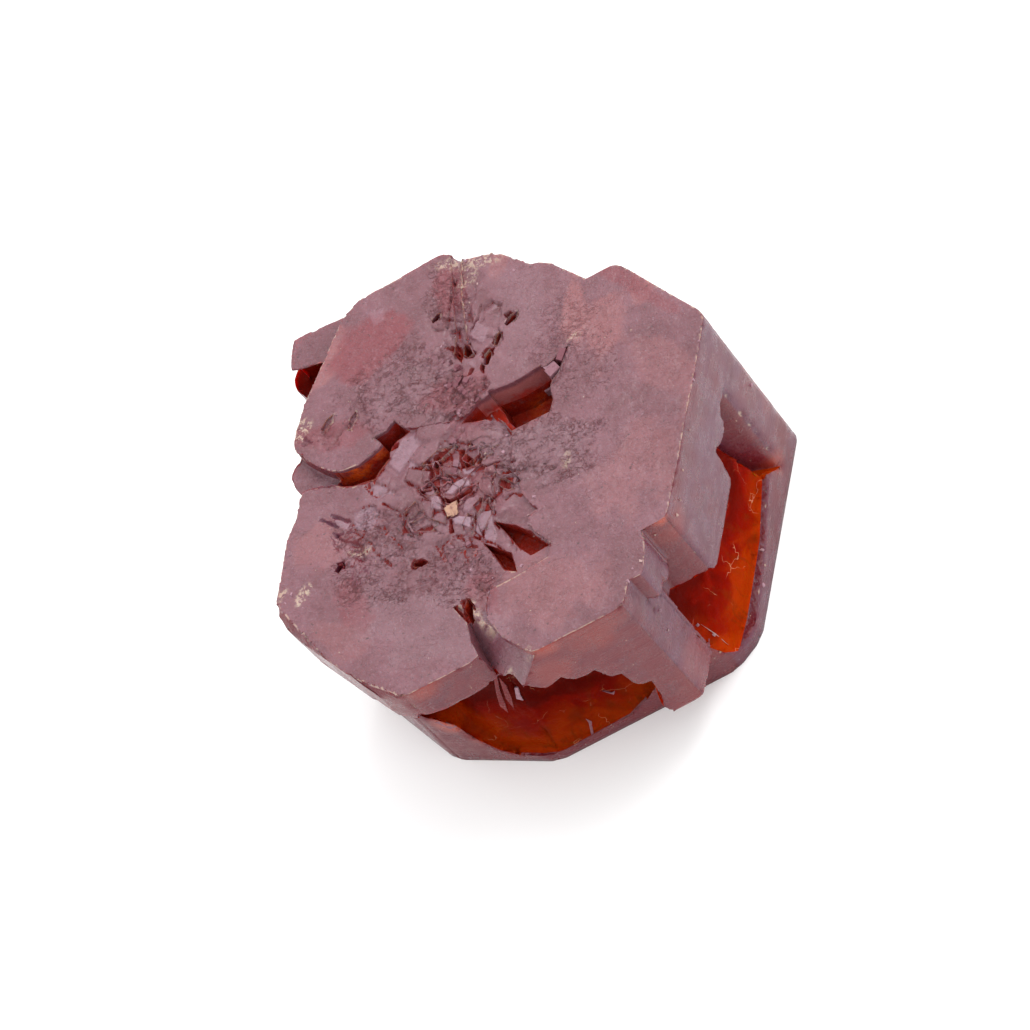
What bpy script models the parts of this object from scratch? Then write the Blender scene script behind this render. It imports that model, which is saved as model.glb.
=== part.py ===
"""A single vanadinite crystal: a thick six-sided plate with hollowed prism faces.

The crystal grew freely, so it has two basal faces. It stands on the lower one, with its
six-fold axis upright. It is modelled in millimetres around that axis and scaled to metres;
the last step moves it so that the middle of its base is the origin. The front is -Y.

A prism face is named by the compass angle of its outward normal, and a point on it is
(along, height): the distance along the face from the foot of the normal, counter-clockwise
seen from above, and the height over the base.
"""

import math
import random

import bmesh
import bpy
from mathutils import Matrix, Vector

MM = 0.001
NODE = "vanadinite_crystal"

# ---------------------------------------------------------------- driving dimensions, mm

THICKNESS = 10.45
CAP_UNDERSIDE = 7.6
TRUNK_TOP = 7.7
PILLAR_FOOT = 1.95
RIM_LIP = 0.15
OUTSIDE = 3.0

FRONT, CORNER, RIGHT, BACK_RIGHT, BACK_CORNER, BACK, LEFT, FRONT_LEFT, FRONT_BEVEL = (
    270, 300, 330, 30, 50, 90, 150, 207, 240
)

# How far each face of the trunk stands from the axis.
TRUNK_FACES = {
    FRONT: 8.0,
    CORNER: 9.05,
    RIGHT: 8.45,
    BACK_RIGHT: 9.1,
    BACK_CORNER: 8.4,
    BACK: 9.4,
    LEFT: 8.4,
    FRONT_LEFT: 9.65,
    FRONT_BEVEL: 8.9,
}
PILLAR_SIDE = 7.36


def point_on(angle, distance, along):
    """The plan of a point on the prism face that stands at this angle and distance."""
    turn = math.radians(angle)
    x = distance * math.cos(turn) - along * math.sin(turn)
    y = distance * math.sin(turn) + along * math.cos(turn)
    return (x, y)


def face_corner(first, second):
    """Where two neighbouring prism faces, each (angle, distance), meet in plan."""
    a, b = math.radians(first[0]), math.radians(second[0])
    turn = math.sin(b - a)
    x = (first[1] * math.sin(b) - second[1] * math.sin(a)) / turn
    y = (second[1] * math.cos(a) - first[1] * math.cos(b)) / turn
    return (x, y)


# The stepped edge between the front and the right face, shared by the cap and the block.
FRONT_WALL = -9.6
BLOCK_WALL = -6.94
PILLAR_CORNER = face_corner((FRONT, -FRONT_WALL), (RIGHT, PILLAR_SIDE))
STEPPED_EDGE = [
    PILLAR_CORNER, point_on(RIGHT, PILLAR_SIDE, -5.75), (4.1, -8.75), (4.75, -7.15),
    (4.7, BLOCK_WALL), face_corner((FRONT, -BLOCK_WALL), (RIGHT, TRUNK_FACES[RIGHT])),
]
RIGHT_CORNER = face_corner(
    (RIGHT, TRUNK_FACES[RIGHT]), (BACK_RIGHT, TRUNK_FACES[BACK_RIGHT])
)

# The upper basal plate, which overhangs the front and is notched at the back and the left.
CAP_OUTLINE = [
    (-6.45, -8.55), (-3.05, -8.5), (-2.4, FRONT_WALL), *STEPPED_EDGE, RIGHT_CORNER,
    (7.7, 4.85), (6.3, 4.9), (5.1, 6.6), (4.45, 6.85), (3.3, 8.25), (2.05, 8.65), (1.3, 9.5),
    (-2.7, 9.4), (-3.65, 8.9), (-6.3, 6.05), (-7.0, 5.0), (-7.45, 4.1), (-7.9, 3.9),
    (-8.05, 3.3), (-7.85, 2.75), (-7.7, 2.3), (-8.15, 1.45), (-8.85, 0.6), (-9.5, -0.7),
    (-10.05, -1.7), (-10.2, -2.25), (-10.1, -2.85), (-9.75, -3.7), (-8.95, -5.1),
    (-8.15, -6.5), (-7.4, -7.75),
]

# Under the overhanging cap, in plan: all of it but the block that carries the front face
# and its corner pillar.
UNDERCUT_OUTLINE = [
    (-2.4, -12.0), (-2.4, -4.0), (2.0, -2.0), (3.5, -7.0),
    point_on(RIGHT, PILLAR_SIDE, -4.75), point_on(RIGHT, PILLAR_SIDE, -8.5),
    (14.0, -12.0), (14.0, 12.0), (-14.0, 12.0), (-14.0, -12.0),
]

# The hollow in each prism face: how high its rim is, how far its back wall leans in for each
# millimetre of height and comes out for each along the face, and its outline on the face.
HOLLOWS = {
    "front_hollow": (FRONT, 1.0, 0.2, 0.0, [
        (-6.55, 8.4), (-6.55, 0.6), (-3.8, 0.5), (-1.8, 0.6), (-0.4, 0.65), (0.55, 1.1),
        (1.4, 1.9), (1.65, 2.0), (1.3, 2.5), (1.5, 3.2), (1.65, 4.6), (1.05, 5.1), (0.95, 6.05),
        (0.45, 6.55), (0.25, 7.15), (-0.75, 7.4), (-0.9, 7.8), (-1.6, 7.75),
        (-2.0, 8.3), (-2.35, 8.8), (-2.9, 8.5), (-3.2, 8.25), (-3.75, 8.1), (-4.45, 8.0),
        (-5.3, 8.05), (-6.1, 8.25),
    ]),
    "front_bevel_hollow": (FRONT_BEVEL, 0.6, 0.2, 0.0, [
        (-3.75, 8.0), (-3.65, 4.3), (-3.1, 4.05), (-2.5, 3.45), (-2.25, 2.35), (-1.6, 1.05),
        (-0.9, 0.55), (1.2, 0.5), (1.6, 8.0),
    ]),
    "pillar_foot_hollow": (RIGHT, 1.0, 0.31, 0.1, [
        (-4.6, 0.8), (-4.6, 2.4), (-5.5, 2.1), (-5.5, 0.5),
    ]),
    "right_hollow": (RIGHT, 1.0, 0.31, 0.1, [
        (2.85, 6.85), (2.1, 6.8), (1.4, 7.0), (1.1, 5.3), (-2.65, 5.25), (-2.95, 5.45),
        (-3.1, 5.7), (-4.7, 5.7), (-4.7, 0.8), (-3.0, 0.85), (-1.0, 1.15), (0.25, 1.35),
        (2.85, 2.2),
    ]),
    "back_right_hollow": (BACK_RIGHT, 1.0, 0.2, 0.0, [
        (-3.1, 1.3), (-1.0, 0.9), (0.6, 1.1), (0.75, 3.4), (0.3, 3.9), (0.45, 5.2), (-0.4, 5.6),
        (-0.6, 6.9), (-1.6, 6.8), (-1.9, 6.1), (-3.0, 6.0), (-3.4, 3.5),
    ]),
    "back_corner_hollow": (BACK_CORNER, 1.0, 0.22, 0.0, [
        (-2.2, 1.2), (1.2, 0.9), (2.4, 1.4), (2.6, 4.1), (1.7, 4.5), (1.5, 6.2), (0.2, 6.7),
        (-0.9, 6.4), (-1.2, 5.0), (-2.0, 4.6),
    ]),
    "back_hollow": (BACK, 1.0, 0.18, 0.0, [
        (-0.9, 1.0), (2.9, 0.8), (3.1, 3.6), (2.4, 4.2), (2.2, 5.9), (0.6, 6.6), (-0.5, 6.2),
        (-0.7, 4.4),
    ]),
    "left_hollow": (LEFT, 1.0, 0.22, 0.0, [
        (-3.6, 1.1), (4.4, 0.9), (4.7, 2.6), (3.8, 3.1), (3.5, 5.4), (1.2, 5.9), (0.9, 6.9),
        (-1.4, 7.0), (-1.8, 5.6), (-3.4, 5.2), (-3.9, 3.0),
    ]),
}

# The slanting end facet of the right hollow: its outline, and how steeply it runs in.
END_FACET_EDGE = 3.75
END_FACET_SLOPE = 1.6
END_FACET_OUTLINE = [
    (END_FACET_EDGE, 7.4), (3.1, 7.6), (2.9, 7.25), (2.8, 6.85), (2.8, 2.15),
    (END_FACET_EDGE, 0.9),
]

# Hollows beside the corner pillar: under the right face, under the stepped block next to it,
# and under the small step at the pillar itself. Each has its floor plane (height at the plan's
# origin, slopes along x and y), its top and its outline in plan.
HOLLOW_SIDE = PILLAR_SIDE + 0.04
STEP_SIDE = PILLAR_SIDE + 0.02
UNDER_STEPS = {
    "pillar_hollow": ((3.87, 0.161, 0.279), 7.85, [
        point_on(RIGHT, HOLLOW_SIDE, -8.5), point_on(RIGHT, HOLLOW_SIDE, -4.6),
        point_on(RIGHT, OUTSIDE + PILLAR_SIDE, -4.6), point_on(RIGHT, OUTSIDE + PILLAR_SIDE, -8.5),
    ]),
    "block_hollow": ((5.65, 0.0, 0.0), 7.8, [
        (4.5, -8.5), (3.8, -7.3), (4.0, BLOCK_WALL), (7.0, BLOCK_WALL), (7.0, -9.7),
    ]),
    "step_hollow": ((7.0, 0.0, 0.0), 8.4, [
        point_on(RIGHT, STEP_SIDE, -8.5), point_on(RIGHT, STEP_SIDE, -4.9), (4.45, -7.9),
        (4.45, -9.7),
    ]),
}

# Terraces and crevices of the upper basal face: outline in plan, depth at the origin of the
# plan, and the slope of the floor along x and y.
TERRACES = {
    "west_terrace": ([
        (-1.0, -9.8), (-1.3, -9.2), (-1.9, -8.3), (-2.2, -7.3), (-2.1, -6.5), (-1.8, -6.1),
        (-0.3, -6.1), (0.85, -6.0), (1.15, -5.5), (0.95, -5.0), (0.6, -4.4), (0.65, -3.9),
        (1.15, -3.8), (0.8, -3.1), (0.9, -1.2), (1.3, 0.0), (0.9, 1.1), (-0.35, 1.7),
        (-2.6, 2.5), (-3.5, 2.4), (-5.0, 2.1), (-5.95, 2.25), (-6.6, 2.95), (-7.0, 3.4),
        (-7.1, 3.8), (-9.5, 4.0), (-12.0, 0.0), (-12.0, -10.5), (-3.0, -10.5),
    ], 0.22, 0.0, 0.0),
    "west_notch": ([
        (-6.6, 3.0), (-5.95, 2.25), (-6.5, 2.1), (-7.3, 2.35), (-9.0, 2.5), (-9.0, 4.6),
        (-7.4, 4.4), (-7.1, 3.75),
    ], 0.75, 0.0, 0.0),
    "front_valley": ([
        (-3.35, -5.9), (-3.05, -6.8), (-3.15, -7.7), (-3.05, -8.45), (-3.0, -10.2),
        (-0.75, -10.2), (-1.05, -9.6), (-1.3, -9.2), (-1.9, -8.3), (-2.2, -7.3), (-2.1, -6.5),
        (-2.4, -5.9),
    ], -8.45, 1.3, 0.77),
    "great_crevice": ([
        (0.5, 2.1), (-0.5, 1.6), (0.85, 1.15), (1.15, 0.6), (1.3, 0.05), (3.0, 0.0),
        (3.3, 0.45), (3.35, 1.2), (3.9, 1.5), (4.7, 2.45), (3.5, 2.05), (2.05, 1.9),
    ], 1.1, 0.0, 0.0),
    "great_crevice_floor": ([
        (1.0, 2.25), (1.1, 1.3), (1.5, 0.35), (2.95, 0.3), (3.2, 1.3), (3.3, 2.2),
        (2.05, 2.1),
    ], 2.3, 0.0, 0.0),
    "left_crevice": ([
        (-6.5, 2.2), (-5.9, 1.65), (-5.5, 1.45), (-4.55, 1.25), (-4.3, 1.5), (-3.75, 1.8),
        (-3.5, 2.35), (-2.65, 2.45), (-3.0, 3.2), (-3.45, 2.95), (-4.0, 2.9), (-3.7, 2.4),
        (-4.3, 2.25), (-5.0, 2.1), (-5.95, 2.25),
    ], 1.35, 0.0, 0.0),
    "inner_pit": ([
        (-0.6, -3.3), (-0.4, -3.85), (-0.1, -4.85), (0.25, -5.45), (1.05, -5.4), (0.5, -4.4),
        (0.1, -3.85),
    ], 1.1, 0.0, 0.0),
    "outer_pit": ([
        (-1.35, -3.9), (-1.15, -4.5), (-0.95, -5.45), (-0.5, -5.8), (-0.45, -4.9),
        (-0.95, -4.35),
    ], 1.0, 0.0, 0.0),
    "back_groove": ([
        (0.2, 4.7), (0.4, 4.1), (0.95, 5.1), (1.3, 6.9), (1.95, 9.0), (1.55, 9.1), (0.95, 6.95),
        (0.6, 5.4),
    ], 0.3, 0.0, 0.0),
}

# Small angular pits: middle (x, y), length, width, turn in degrees and depth.
PITS = [
    (2.9, 4.9, 0.8, 0.35, 25.0, 0.8),
    (2.1, 4.35, 0.75, 0.3, 55.0, 0.7),
    (1.45, 3.75, 0.8, 0.35, 60.0, 0.8),
    (0.8, 4.5, 0.7, 0.4, 100.0, 0.7),
    (0.1, 6.7, 0.5, 0.3, 20.0, 0.6),
    (-0.55, 0.0, 0.8, 0.6, 30.0, 0.8),
    (-2.05, 0.15, 0.75, 0.3, 80.0, 0.8),
    (-1.25, -1.5, 1.0, 0.35, 10.0, 0.8),
    (-2.65, -0.4, 0.5, 0.25, 0.0, 0.7),
    (-2.8, -6.35, 1.1, 0.4, 80.0, 1.1),
    (-4.0, -3.35, 0.7, 0.35, -20.0, 0.8),
    (-7.15, -1.75, 0.5, 0.3, 40.0, 0.6),
    (-5.6, 4.6, 0.9, 0.3, 35.0, 0.5),
    (-4.6, 4.1, 0.9, 0.3, 50.0, 0.55),
]
PIT_CORNERS = 5

# Broken blades around the middle of the upper face: seeded chips whose long sides keep to the
# crystal's own directions, each with a tilted floor.
RUBBLE_SEED = 23
RUBBLE_COUNT = 22
RUBBLE_MIDDLE = (-1.6, -0.9)
RUBBLE_REACH = (2.3, 2.2)
RUBBLE_LENGTH = (0.35, 0.85)
RUBBLE_WIDTH = (0.2, 0.4)
RUBBLE_DEPTH = (0.3, 0.6)
RUBBLE_TILT = 0.4
CRYSTAL_TURN = 30

# Worn bevels of the upper edge: (angle, distance where it starts), from and to along it.
BEVEL_SLOPE = 1.3
EDGE_BEVELS = {
    "west_bevel": ((200, 9.95), -1.6, 1.4),
    "south_west_bevel": ((220.5, 10.25), -0.3, 2.6),
}

# The small crystal grown into the back left edge: three plates, in plan, with their spans.
SIDE_CRYSTAL = {
    "side_plate_high": ((8.75, 8.95), [
        (-6.25, 10.4), (-6.8, 9.0), (-5.4, 8.65), (-4.4, 7.4), (-2.6, 8.6), (-2.9, 10.0),
    ]),
    "side_waist": ((7.4, 8.8), [
        (-6.1, 10.2), (-6.55, 9.2), (-5.35, 8.85), (-4.3, 7.2), (-2.6, 8.5), (-3.0, 9.9),
    ]),
    "side_plate_low": ((6.3, 7.55), [
        (-6.35, 10.4), (-7.2, 9.6), (-7.15, 9.0), (-6.8, 8.3), (-5.0, 6.8), (-3.0, 8.2),
        (-3.2, 10.2),
    ]),
}

SKIN_COLOUR = (0.30, 0.14, 0.17, 1.0)
SKIN_ROUGHNESS = 0.35


# ------------------------------------------------------------------------------- helpers


def clear_scene():
    for obj in list(bpy.data.objects):
        bpy.data.objects.remove(obj, do_unlink=True)


def new_collection(name):
    collection = bpy.data.collections.new(name)
    bpy.context.scene.collection.children.link(collection)
    return collection


def prism_outline(faces):
    """The plan of a prism whose faces stand at the given distances from the axis."""
    ring = sorted(faces.items())
    return [face_corner(ring[i - 1], ring[i]) for i in range(len(ring))]


def face_frame(angle):
    """Axes of a prism face: along it, up, and out of it."""
    turn = math.radians(angle)
    along = Vector((-math.sin(turn), math.cos(turn), 0.0))
    up = Vector((0.0, 0.0, 1.0))
    out = Vector((math.cos(turn), math.sin(turn), 0.0))
    return Matrix((along, up, out)).transposed().to_4x4()


def level(height):
    return (height, 0.0, 0.0)


def plane_height(plane, u, v):
    start, slope_u, slope_v = plane
    return start + slope_u * u + slope_v * v


def pointed_oval(middle, reach, lean, start, corners):
    """The plan of an angular pit: corners spaced round an oval that is turned by lean."""
    outline = []
    for corner in range(corners):
        angle = start + 2.0 * math.pi * corner / corners
        along = reach[0] * math.cos(angle)
        across = reach[1] * math.sin(angle)
        outline.append((
            middle[0] + along * math.cos(lean) - across * math.sin(lean),
            middle[1] + along * math.sin(lean) + across * math.cos(lean),
        ))
    return outline


def slab(name, outline, low, high, collection, frame=None):
    """A block with the outline's straight sides, between two planes that may slope."""
    curve = bpy.data.curves.new(name, "CURVE")
    curve.dimensions = "2D"
    curve.fill_mode = "BOTH"
    curve.extrude = 1.0
    spline = curve.splines.new("POLY")
    spline.points.add(len(outline) - 1)
    for point, (u, v) in zip(spline.points, outline):
        point.co = (u, v, 0.0, 1.0)
    spline.use_cyclic_u = True
    drawn = bpy.data.objects.new(name + "_drawn", curve)
    collection.objects.link(drawn)
    depsgraph = bpy.context.evaluated_depsgraph_get()
    mesh = bpy.data.meshes.new_from_object(drawn.evaluated_get(depsgraph))
    bpy.data.objects.remove(drawn, do_unlink=True)

    bm = bmesh.new()
    bm.from_mesh(mesh)
    bmesh.ops.remove_doubles(bm, verts=bm.verts, dist=0.0001)
    for vert in bm.verts:
        plane = high if vert.co.z > 0.0 else low
        vert.co.z = plane_height(plane, vert.co.x, vert.co.y)
        vert.co = (frame @ vert.co if frame else vert.co) * MM
    bmesh.ops.recalc_face_normals(bm, faces=bm.faces)
    if bm.calc_volume(signed=True) < 0.0:
        bmesh.ops.reverse_faces(bm, faces=bm.faces)
    bm.to_mesh(mesh)
    bm.free()
    obj = bpy.data.objects.new(name, mesh)
    collection.objects.link(obj)
    return obj


def as_tool(obj):
    obj.hide_render = True
    obj.display_type = "WIRE"
    return obj


def combine(body, tool, operation):
    step = body.modifiers.new(tool.name, "BOOLEAN")
    step.operation = operation
    step.solver = "EXACT"
    step.object = as_tool(tool)


def skin_material():
    material = bpy.data.materials.new("vanadinite")
    material.use_nodes = True
    shader = material.node_tree.nodes["Principled BSDF"]
    shader.inputs["Base Color"].default_value = SKIN_COLOUR
    shader.inputs["Roughness"].default_value = SKIN_ROUGHNESS
    shader.inputs["Metallic"].default_value = 0.0
    return material


# ------------------------------------------------------------------------------ the parts


def growths(tools):
    """The undercut of the cap, then the trunk and the side crystal that join it."""
    undercut = slab("undercut", UNDERCUT_OUTLINE, level(0.0), level(CAP_UNDERSIDE), tools)
    yield undercut, "DIFFERENCE"
    trunk = slab("trunk", prism_outline(TRUNK_FACES), level(0.0), level(TRUNK_TOP), tools)
    yield trunk, "UNION"
    for name, ((low, high), outline) in SIDE_CRYSTAL.items():
        yield slab(name, outline, level(low), level(high), tools), "UNION"


def face_hollows(tools):
    """Hollow the prism faces, each back wall leaning in from the rim."""
    for name, (angle, rim, lean, flare, outline) in HOLLOWS.items():
        distance = TRUNK_FACES[angle]
        wall = (distance - RIM_LIP + lean * rim, flare, -lean)
        tool = slab(name, outline, wall, level(distance + OUTSIDE), tools, face_frame(angle))
        yield tool, "DIFFERENCE"
    distance = TRUNK_FACES[RIGHT]
    wall = (distance - END_FACET_SLOPE * END_FACET_EDGE, END_FACET_SLOPE, 0.0)
    facet = slab(
        "end_facet", END_FACET_OUTLINE, wall, level(distance + OUTSIDE), tools, face_frame(RIGHT)
    )
    yield facet, "DIFFERENCE"
    for name, (floor, top, outline) in UNDER_STEPS.items():
        yield slab(name, outline, floor, level(top), tools), "DIFFERENCE"


def upper_face_cuts(tools):
    """Terraces, crevices, pits and worn edges of the upper basal face."""
    above = level(THICKNESS + OUTSIDE)
    for name, (outline, depth, slope_x, slope_y) in TERRACES.items():
        floor = (THICKNESS - depth, slope_x, slope_y)
        yield slab(name, outline, floor, above, tools), "DIFFERENCE"
    for number, (x, y, length, width, turn, depth) in enumerate(PITS):
        reach = (0.5 * length, 0.5 * width)
        outline = pointed_oval((x, y), reach, math.radians(turn), 0.0, PIT_CORNERS)
        pit = slab("pit_%02d" % number, outline, level(THICKNESS - depth), above, tools)
        yield pit, "DIFFERENCE"
    yield from rubble_chips(above, tools)
    for name, ((angle, start), first, last) in EDGE_BEVELS.items():
        out_x, out_y = point_on(angle, 1.0, 0.0)
        falling = (THICKNESS + BEVEL_SLOPE * start, -BEVEL_SLOPE * out_x, -BEVEL_SLOPE * out_y)
        outline = [
            point_on(angle, start, first), point_on(angle, start + OUTSIDE, first),
            point_on(angle, start + OUTSIDE, last), point_on(angle, start, last),
        ]
        yield slab(name, outline, falling, above, tools), "DIFFERENCE"


def rubble_chips(above, tools):
    """Tilted chips missing from the middle of the upper face."""
    draw = random.Random(RUBBLE_SEED)
    for number in range(RUBBLE_COUNT):
        reach = math.sqrt(draw.random())
        bearing = draw.uniform(0.0, 2.0 * math.pi)
        x = RUBBLE_MIDDLE[0] + RUBBLE_REACH[0] * reach * math.cos(bearing)
        y = RUBBLE_MIDDLE[1] + RUBBLE_REACH[1] * reach * math.sin(bearing)
        length = draw.uniform(*RUBBLE_LENGTH)
        width = draw.uniform(*RUBBLE_WIDTH)
        lean = math.radians(CRYSTAL_TURN * draw.randrange(6) + draw.uniform(-5.0, 5.0))
        start = draw.uniform(0.0, 2.0 * math.pi)
        outline = pointed_oval((x, y), (length, width), lean, start, draw.choice((4, 5, 6)))
        slope_x = draw.uniform(-RUBBLE_TILT, RUBBLE_TILT)
        slope_y = draw.uniform(-RUBBLE_TILT, RUBBLE_TILT)
        floor = THICKNESS - draw.uniform(*RUBBLE_DEPTH) - slope_x * x - slope_y * y
        chip = slab("chip_%02d" % number, outline, (floor, slope_x, slope_y), above, tools)
        yield chip, "DIFFERENCE"


def stand_on_origin(body, tools):
    """Move the crystal and its tools so that the middle of the base is the origin."""
    evaluated = body.evaluated_get(bpy.context.evaluated_depsgraph_get())
    corners = [body.matrix_world @ Vector(corner) for corner in evaluated.bound_box]
    middle_x = 0.5 * (min(c.x for c in corners) + max(c.x for c in corners))
    middle_y = 0.5 * (min(c.y for c in corners) + max(c.y for c in corners))
    bottom = min(c.z for c in corners)
    axis = bpy.data.objects.new("crystal_axis", None)
    bpy.context.scene.collection.objects.link(axis)
    for obj in [body, *tools.objects]:
        obj.parent = axis
    axis.location = (-middle_x, -middle_y, -bottom)


def main():
    clear_scene()
    parts = new_collection("vanadinite_specimen")
    tools = new_collection("cutters")
    body = slab(NODE, CAP_OUTLINE, level(PILLAR_FOOT), level(THICKNESS), parts)
    body.data.materials.append(skin_material())
    steps = [*growths(tools), *face_hollows(tools), *upper_face_cuts(tools)]
    for tool, operation in steps:
        combine(body, tool, operation)
    bpy.context.view_layer.update()
    stand_on_origin(body, tools)
    bpy.context.view_layer.update()


main()
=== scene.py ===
# %% [markdown]
# # A vanadinite crystal: frosted outside, red glass inside
#
# The object is one crystal, about 20 mm across: a thick six-sided plate of dark red vanadinite.
# Two things make its look. Weather and acid have etched the outside to a mauve frost, full of
# fine steps, hair cracks and pits. Where the faces grew hollow, the surface stayed glassy, and
# one looks into the dark red body. The frame holds the crystal as a solid with flat faces. This
# lesson cuts a copy of it into fine cells, carves the small forms, and paints both surfaces with
# shader nodes.

# %% Load the frame
import itertools
import math
import random

import bmesh
import bpy
import numpy as np
from mathutils import Matrix, Vector, noise
from mathutils.bvhtree import BVHTree
from mathutils.kdtree import KDTree


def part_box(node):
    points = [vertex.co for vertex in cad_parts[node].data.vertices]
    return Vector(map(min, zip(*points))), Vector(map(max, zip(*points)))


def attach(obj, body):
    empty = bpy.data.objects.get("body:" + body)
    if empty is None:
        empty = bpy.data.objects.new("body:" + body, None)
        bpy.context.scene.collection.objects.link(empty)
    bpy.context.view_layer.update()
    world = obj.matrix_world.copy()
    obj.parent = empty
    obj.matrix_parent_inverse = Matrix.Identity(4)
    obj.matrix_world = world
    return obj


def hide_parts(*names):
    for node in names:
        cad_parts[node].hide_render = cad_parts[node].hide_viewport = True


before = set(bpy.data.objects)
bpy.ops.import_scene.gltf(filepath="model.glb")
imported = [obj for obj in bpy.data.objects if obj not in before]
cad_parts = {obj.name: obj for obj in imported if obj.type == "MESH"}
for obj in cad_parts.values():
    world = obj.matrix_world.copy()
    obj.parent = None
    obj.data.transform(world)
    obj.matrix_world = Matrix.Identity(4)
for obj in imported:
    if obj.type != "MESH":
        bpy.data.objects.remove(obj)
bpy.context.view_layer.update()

MM = 0.001
NODE = "vanadinite_crystal"
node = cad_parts[NODE]
low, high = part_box(NODE)
THICKNESS = (high.z - low.z) / MM
print(f"{NODE}: {THICKNESS:.2f} mm thick, {len(node.data.polygons)} triangles in the frame")

# %% [markdown]
# ## The camera
#
# A crystal this small is looked at from near through a long lens, so its parallel edges
# stay nearly parallel. The camera can be aimed with a constraint, but its tilt to one side is
# easier to state as a roll. Here its three axes are worked out from azimuth, elevation and roll,
# and written into the camera's matrix.

# %% Camera
VIEW_AZIMUTH = 18.0
VIEW_ELEVATION = 53.7
VIEW_ROLL = -42.5
VIEW_DISTANCE = 0.172
VIEW_SHIFT = (-0.0008, -0.0004)
NEAREST = 0.001
LENS_MM = 150.3
SENSOR_MM = 36.0


def view_axes(azimuth, elevation, roll):
    """The camera's right, up and back directions."""
    a, e, r = (math.radians(v) for v in (azimuth, elevation, roll))
    level = Vector((math.cos(a), math.sin(a), 0.0))
    rise = Vector((-math.sin(e) * math.sin(a), math.sin(e) * math.cos(a), math.cos(e)))
    back = Vector((math.cos(e) * math.sin(a), -math.cos(e) * math.cos(a), math.sin(e)))
    right = math.cos(r) * level + math.sin(r) * rise
    up = -math.sin(r) * level + math.cos(r) * rise
    return right, up, back


AXIS = Vector((0.0865, -0.4, 0.0))
aim = Vector((AXIS.x, AXIS.y, THICKNESS / 2.0)) * MM
right, up, back = view_axes(VIEW_AZIMUTH, VIEW_ELEVATION, VIEW_ROLL)
place = aim + VIEW_DISTANCE * back + VIEW_SHIFT[0] * right + VIEW_SHIFT[1] * up
camera_data = bpy.data.cameras.new("camera")
camera_data.lens = LENS_MM
camera_data.sensor_width = SENSOR_MM
camera_data.clip_start = NEAREST
camera = bpy.data.objects.new("camera", camera_data)
camera.matrix_world = Matrix((right, up, back)).transposed().to_4x4()
camera.matrix_world.translation = place
bpy.context.scene.collection.objects.link(camera)
bpy.context.scene.camera = camera
print("camera at", [round(v / MM, 1) for v in place], "mm")

# %% [markdown]
# ## Light and floor
#
# A light tent gives pale light from everywhere, which a frosted stone needs: its mauve bloom is
# mostly the tent's reflection. The world is the tent. One large soft lamp behind the stone adds
# direction and lays the soft shadow towards the camera. The Standard view transform keeps the
# white floor white.

# %% Light and floor
TENT_STRENGTH = 1.42
KEY_TOWARD = Vector((0.78, 0.66, 1.55)).normalized()
KEY_SIZE = 0.18
KEY_DISTANCE = 0.30
KEY_POWER = 0.50
FLOOR_SIZE = 1.6
FLOOR_COLOUR = (0.93, 0.93, 0.93, 1.0)

scene = bpy.context.scene
scene.view_settings.view_transform = "Standard"
world = bpy.data.worlds.new("light_tent")
world.use_nodes = True
tent = world.node_tree.nodes["Background"].inputs
tent["Color"].default_value = (1.0, 1.0, 1.0, 1.0)
tent["Strength"].default_value = TENT_STRENGTH
scene.world = world

key_light = bpy.data.lights.new("key_lamp", "AREA")
key_light.shape = "SQUARE"
key_light.size = KEY_SIZE
key_light.energy = KEY_POWER
key_lamp = bpy.data.objects.new("key_lamp", key_light)
key_lamp.location = aim + KEY_TOWARD * KEY_DISTANCE
key_lamp.rotation_euler = KEY_TOWARD.to_track_quat("Z", "Y").to_euler()
scene.collection.objects.link(key_lamp)

bpy.ops.mesh.primitive_grid_add(x_subdivisions=8, y_subdivisions=8, size=FLOOR_SIZE)
floor = bpy.context.object
floor.name = "floor"
paper = bpy.data.materials.new("white_paper")
paper.use_nodes = True
nodes = paper.node_tree.nodes
sheen = nodes["Principled BSDF"].inputs
sheen["Base Color"].default_value = FLOOR_COLOUR
sheen["Roughness"].default_value = 0.9
sheen["Specular IOR Level"].default_value = 0.0
grain, relief = nodes.new("ShaderNodeTexNoise"), nodes.new("ShaderNodeBump")
grain.inputs["Scale"].default_value = 900.0
relief.inputs["Strength"].default_value = 0.05
relief.inputs["Distance"].default_value = 0.00002
paper.node_tree.links.new(grain.outputs["Fac"], relief.inputs["Height"])
paper.node_tree.links.new(relief.outputs["Normal"], sheen["Normal"])
floor.data.materials.append(paper)
print("one lamp, one tent, one white floor")

# %% [markdown]
# ## A working copy of the crystal
#
# Carving needs many points, set close together on the upper face and wider apart elsewhere.
# Subdivision would round the flat faces, and a voxel remesh would soften every edge. Slicing
# keeps both: each facet is cut by parallel planes, like a loaf, first one way and then the
# other. Every cut costs the same however small it is, so the planes are set wide, and where
# finer cells are wanted each cell is then split into four. The copy is worked in millimetres
# round the crystal's own axis.

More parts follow.
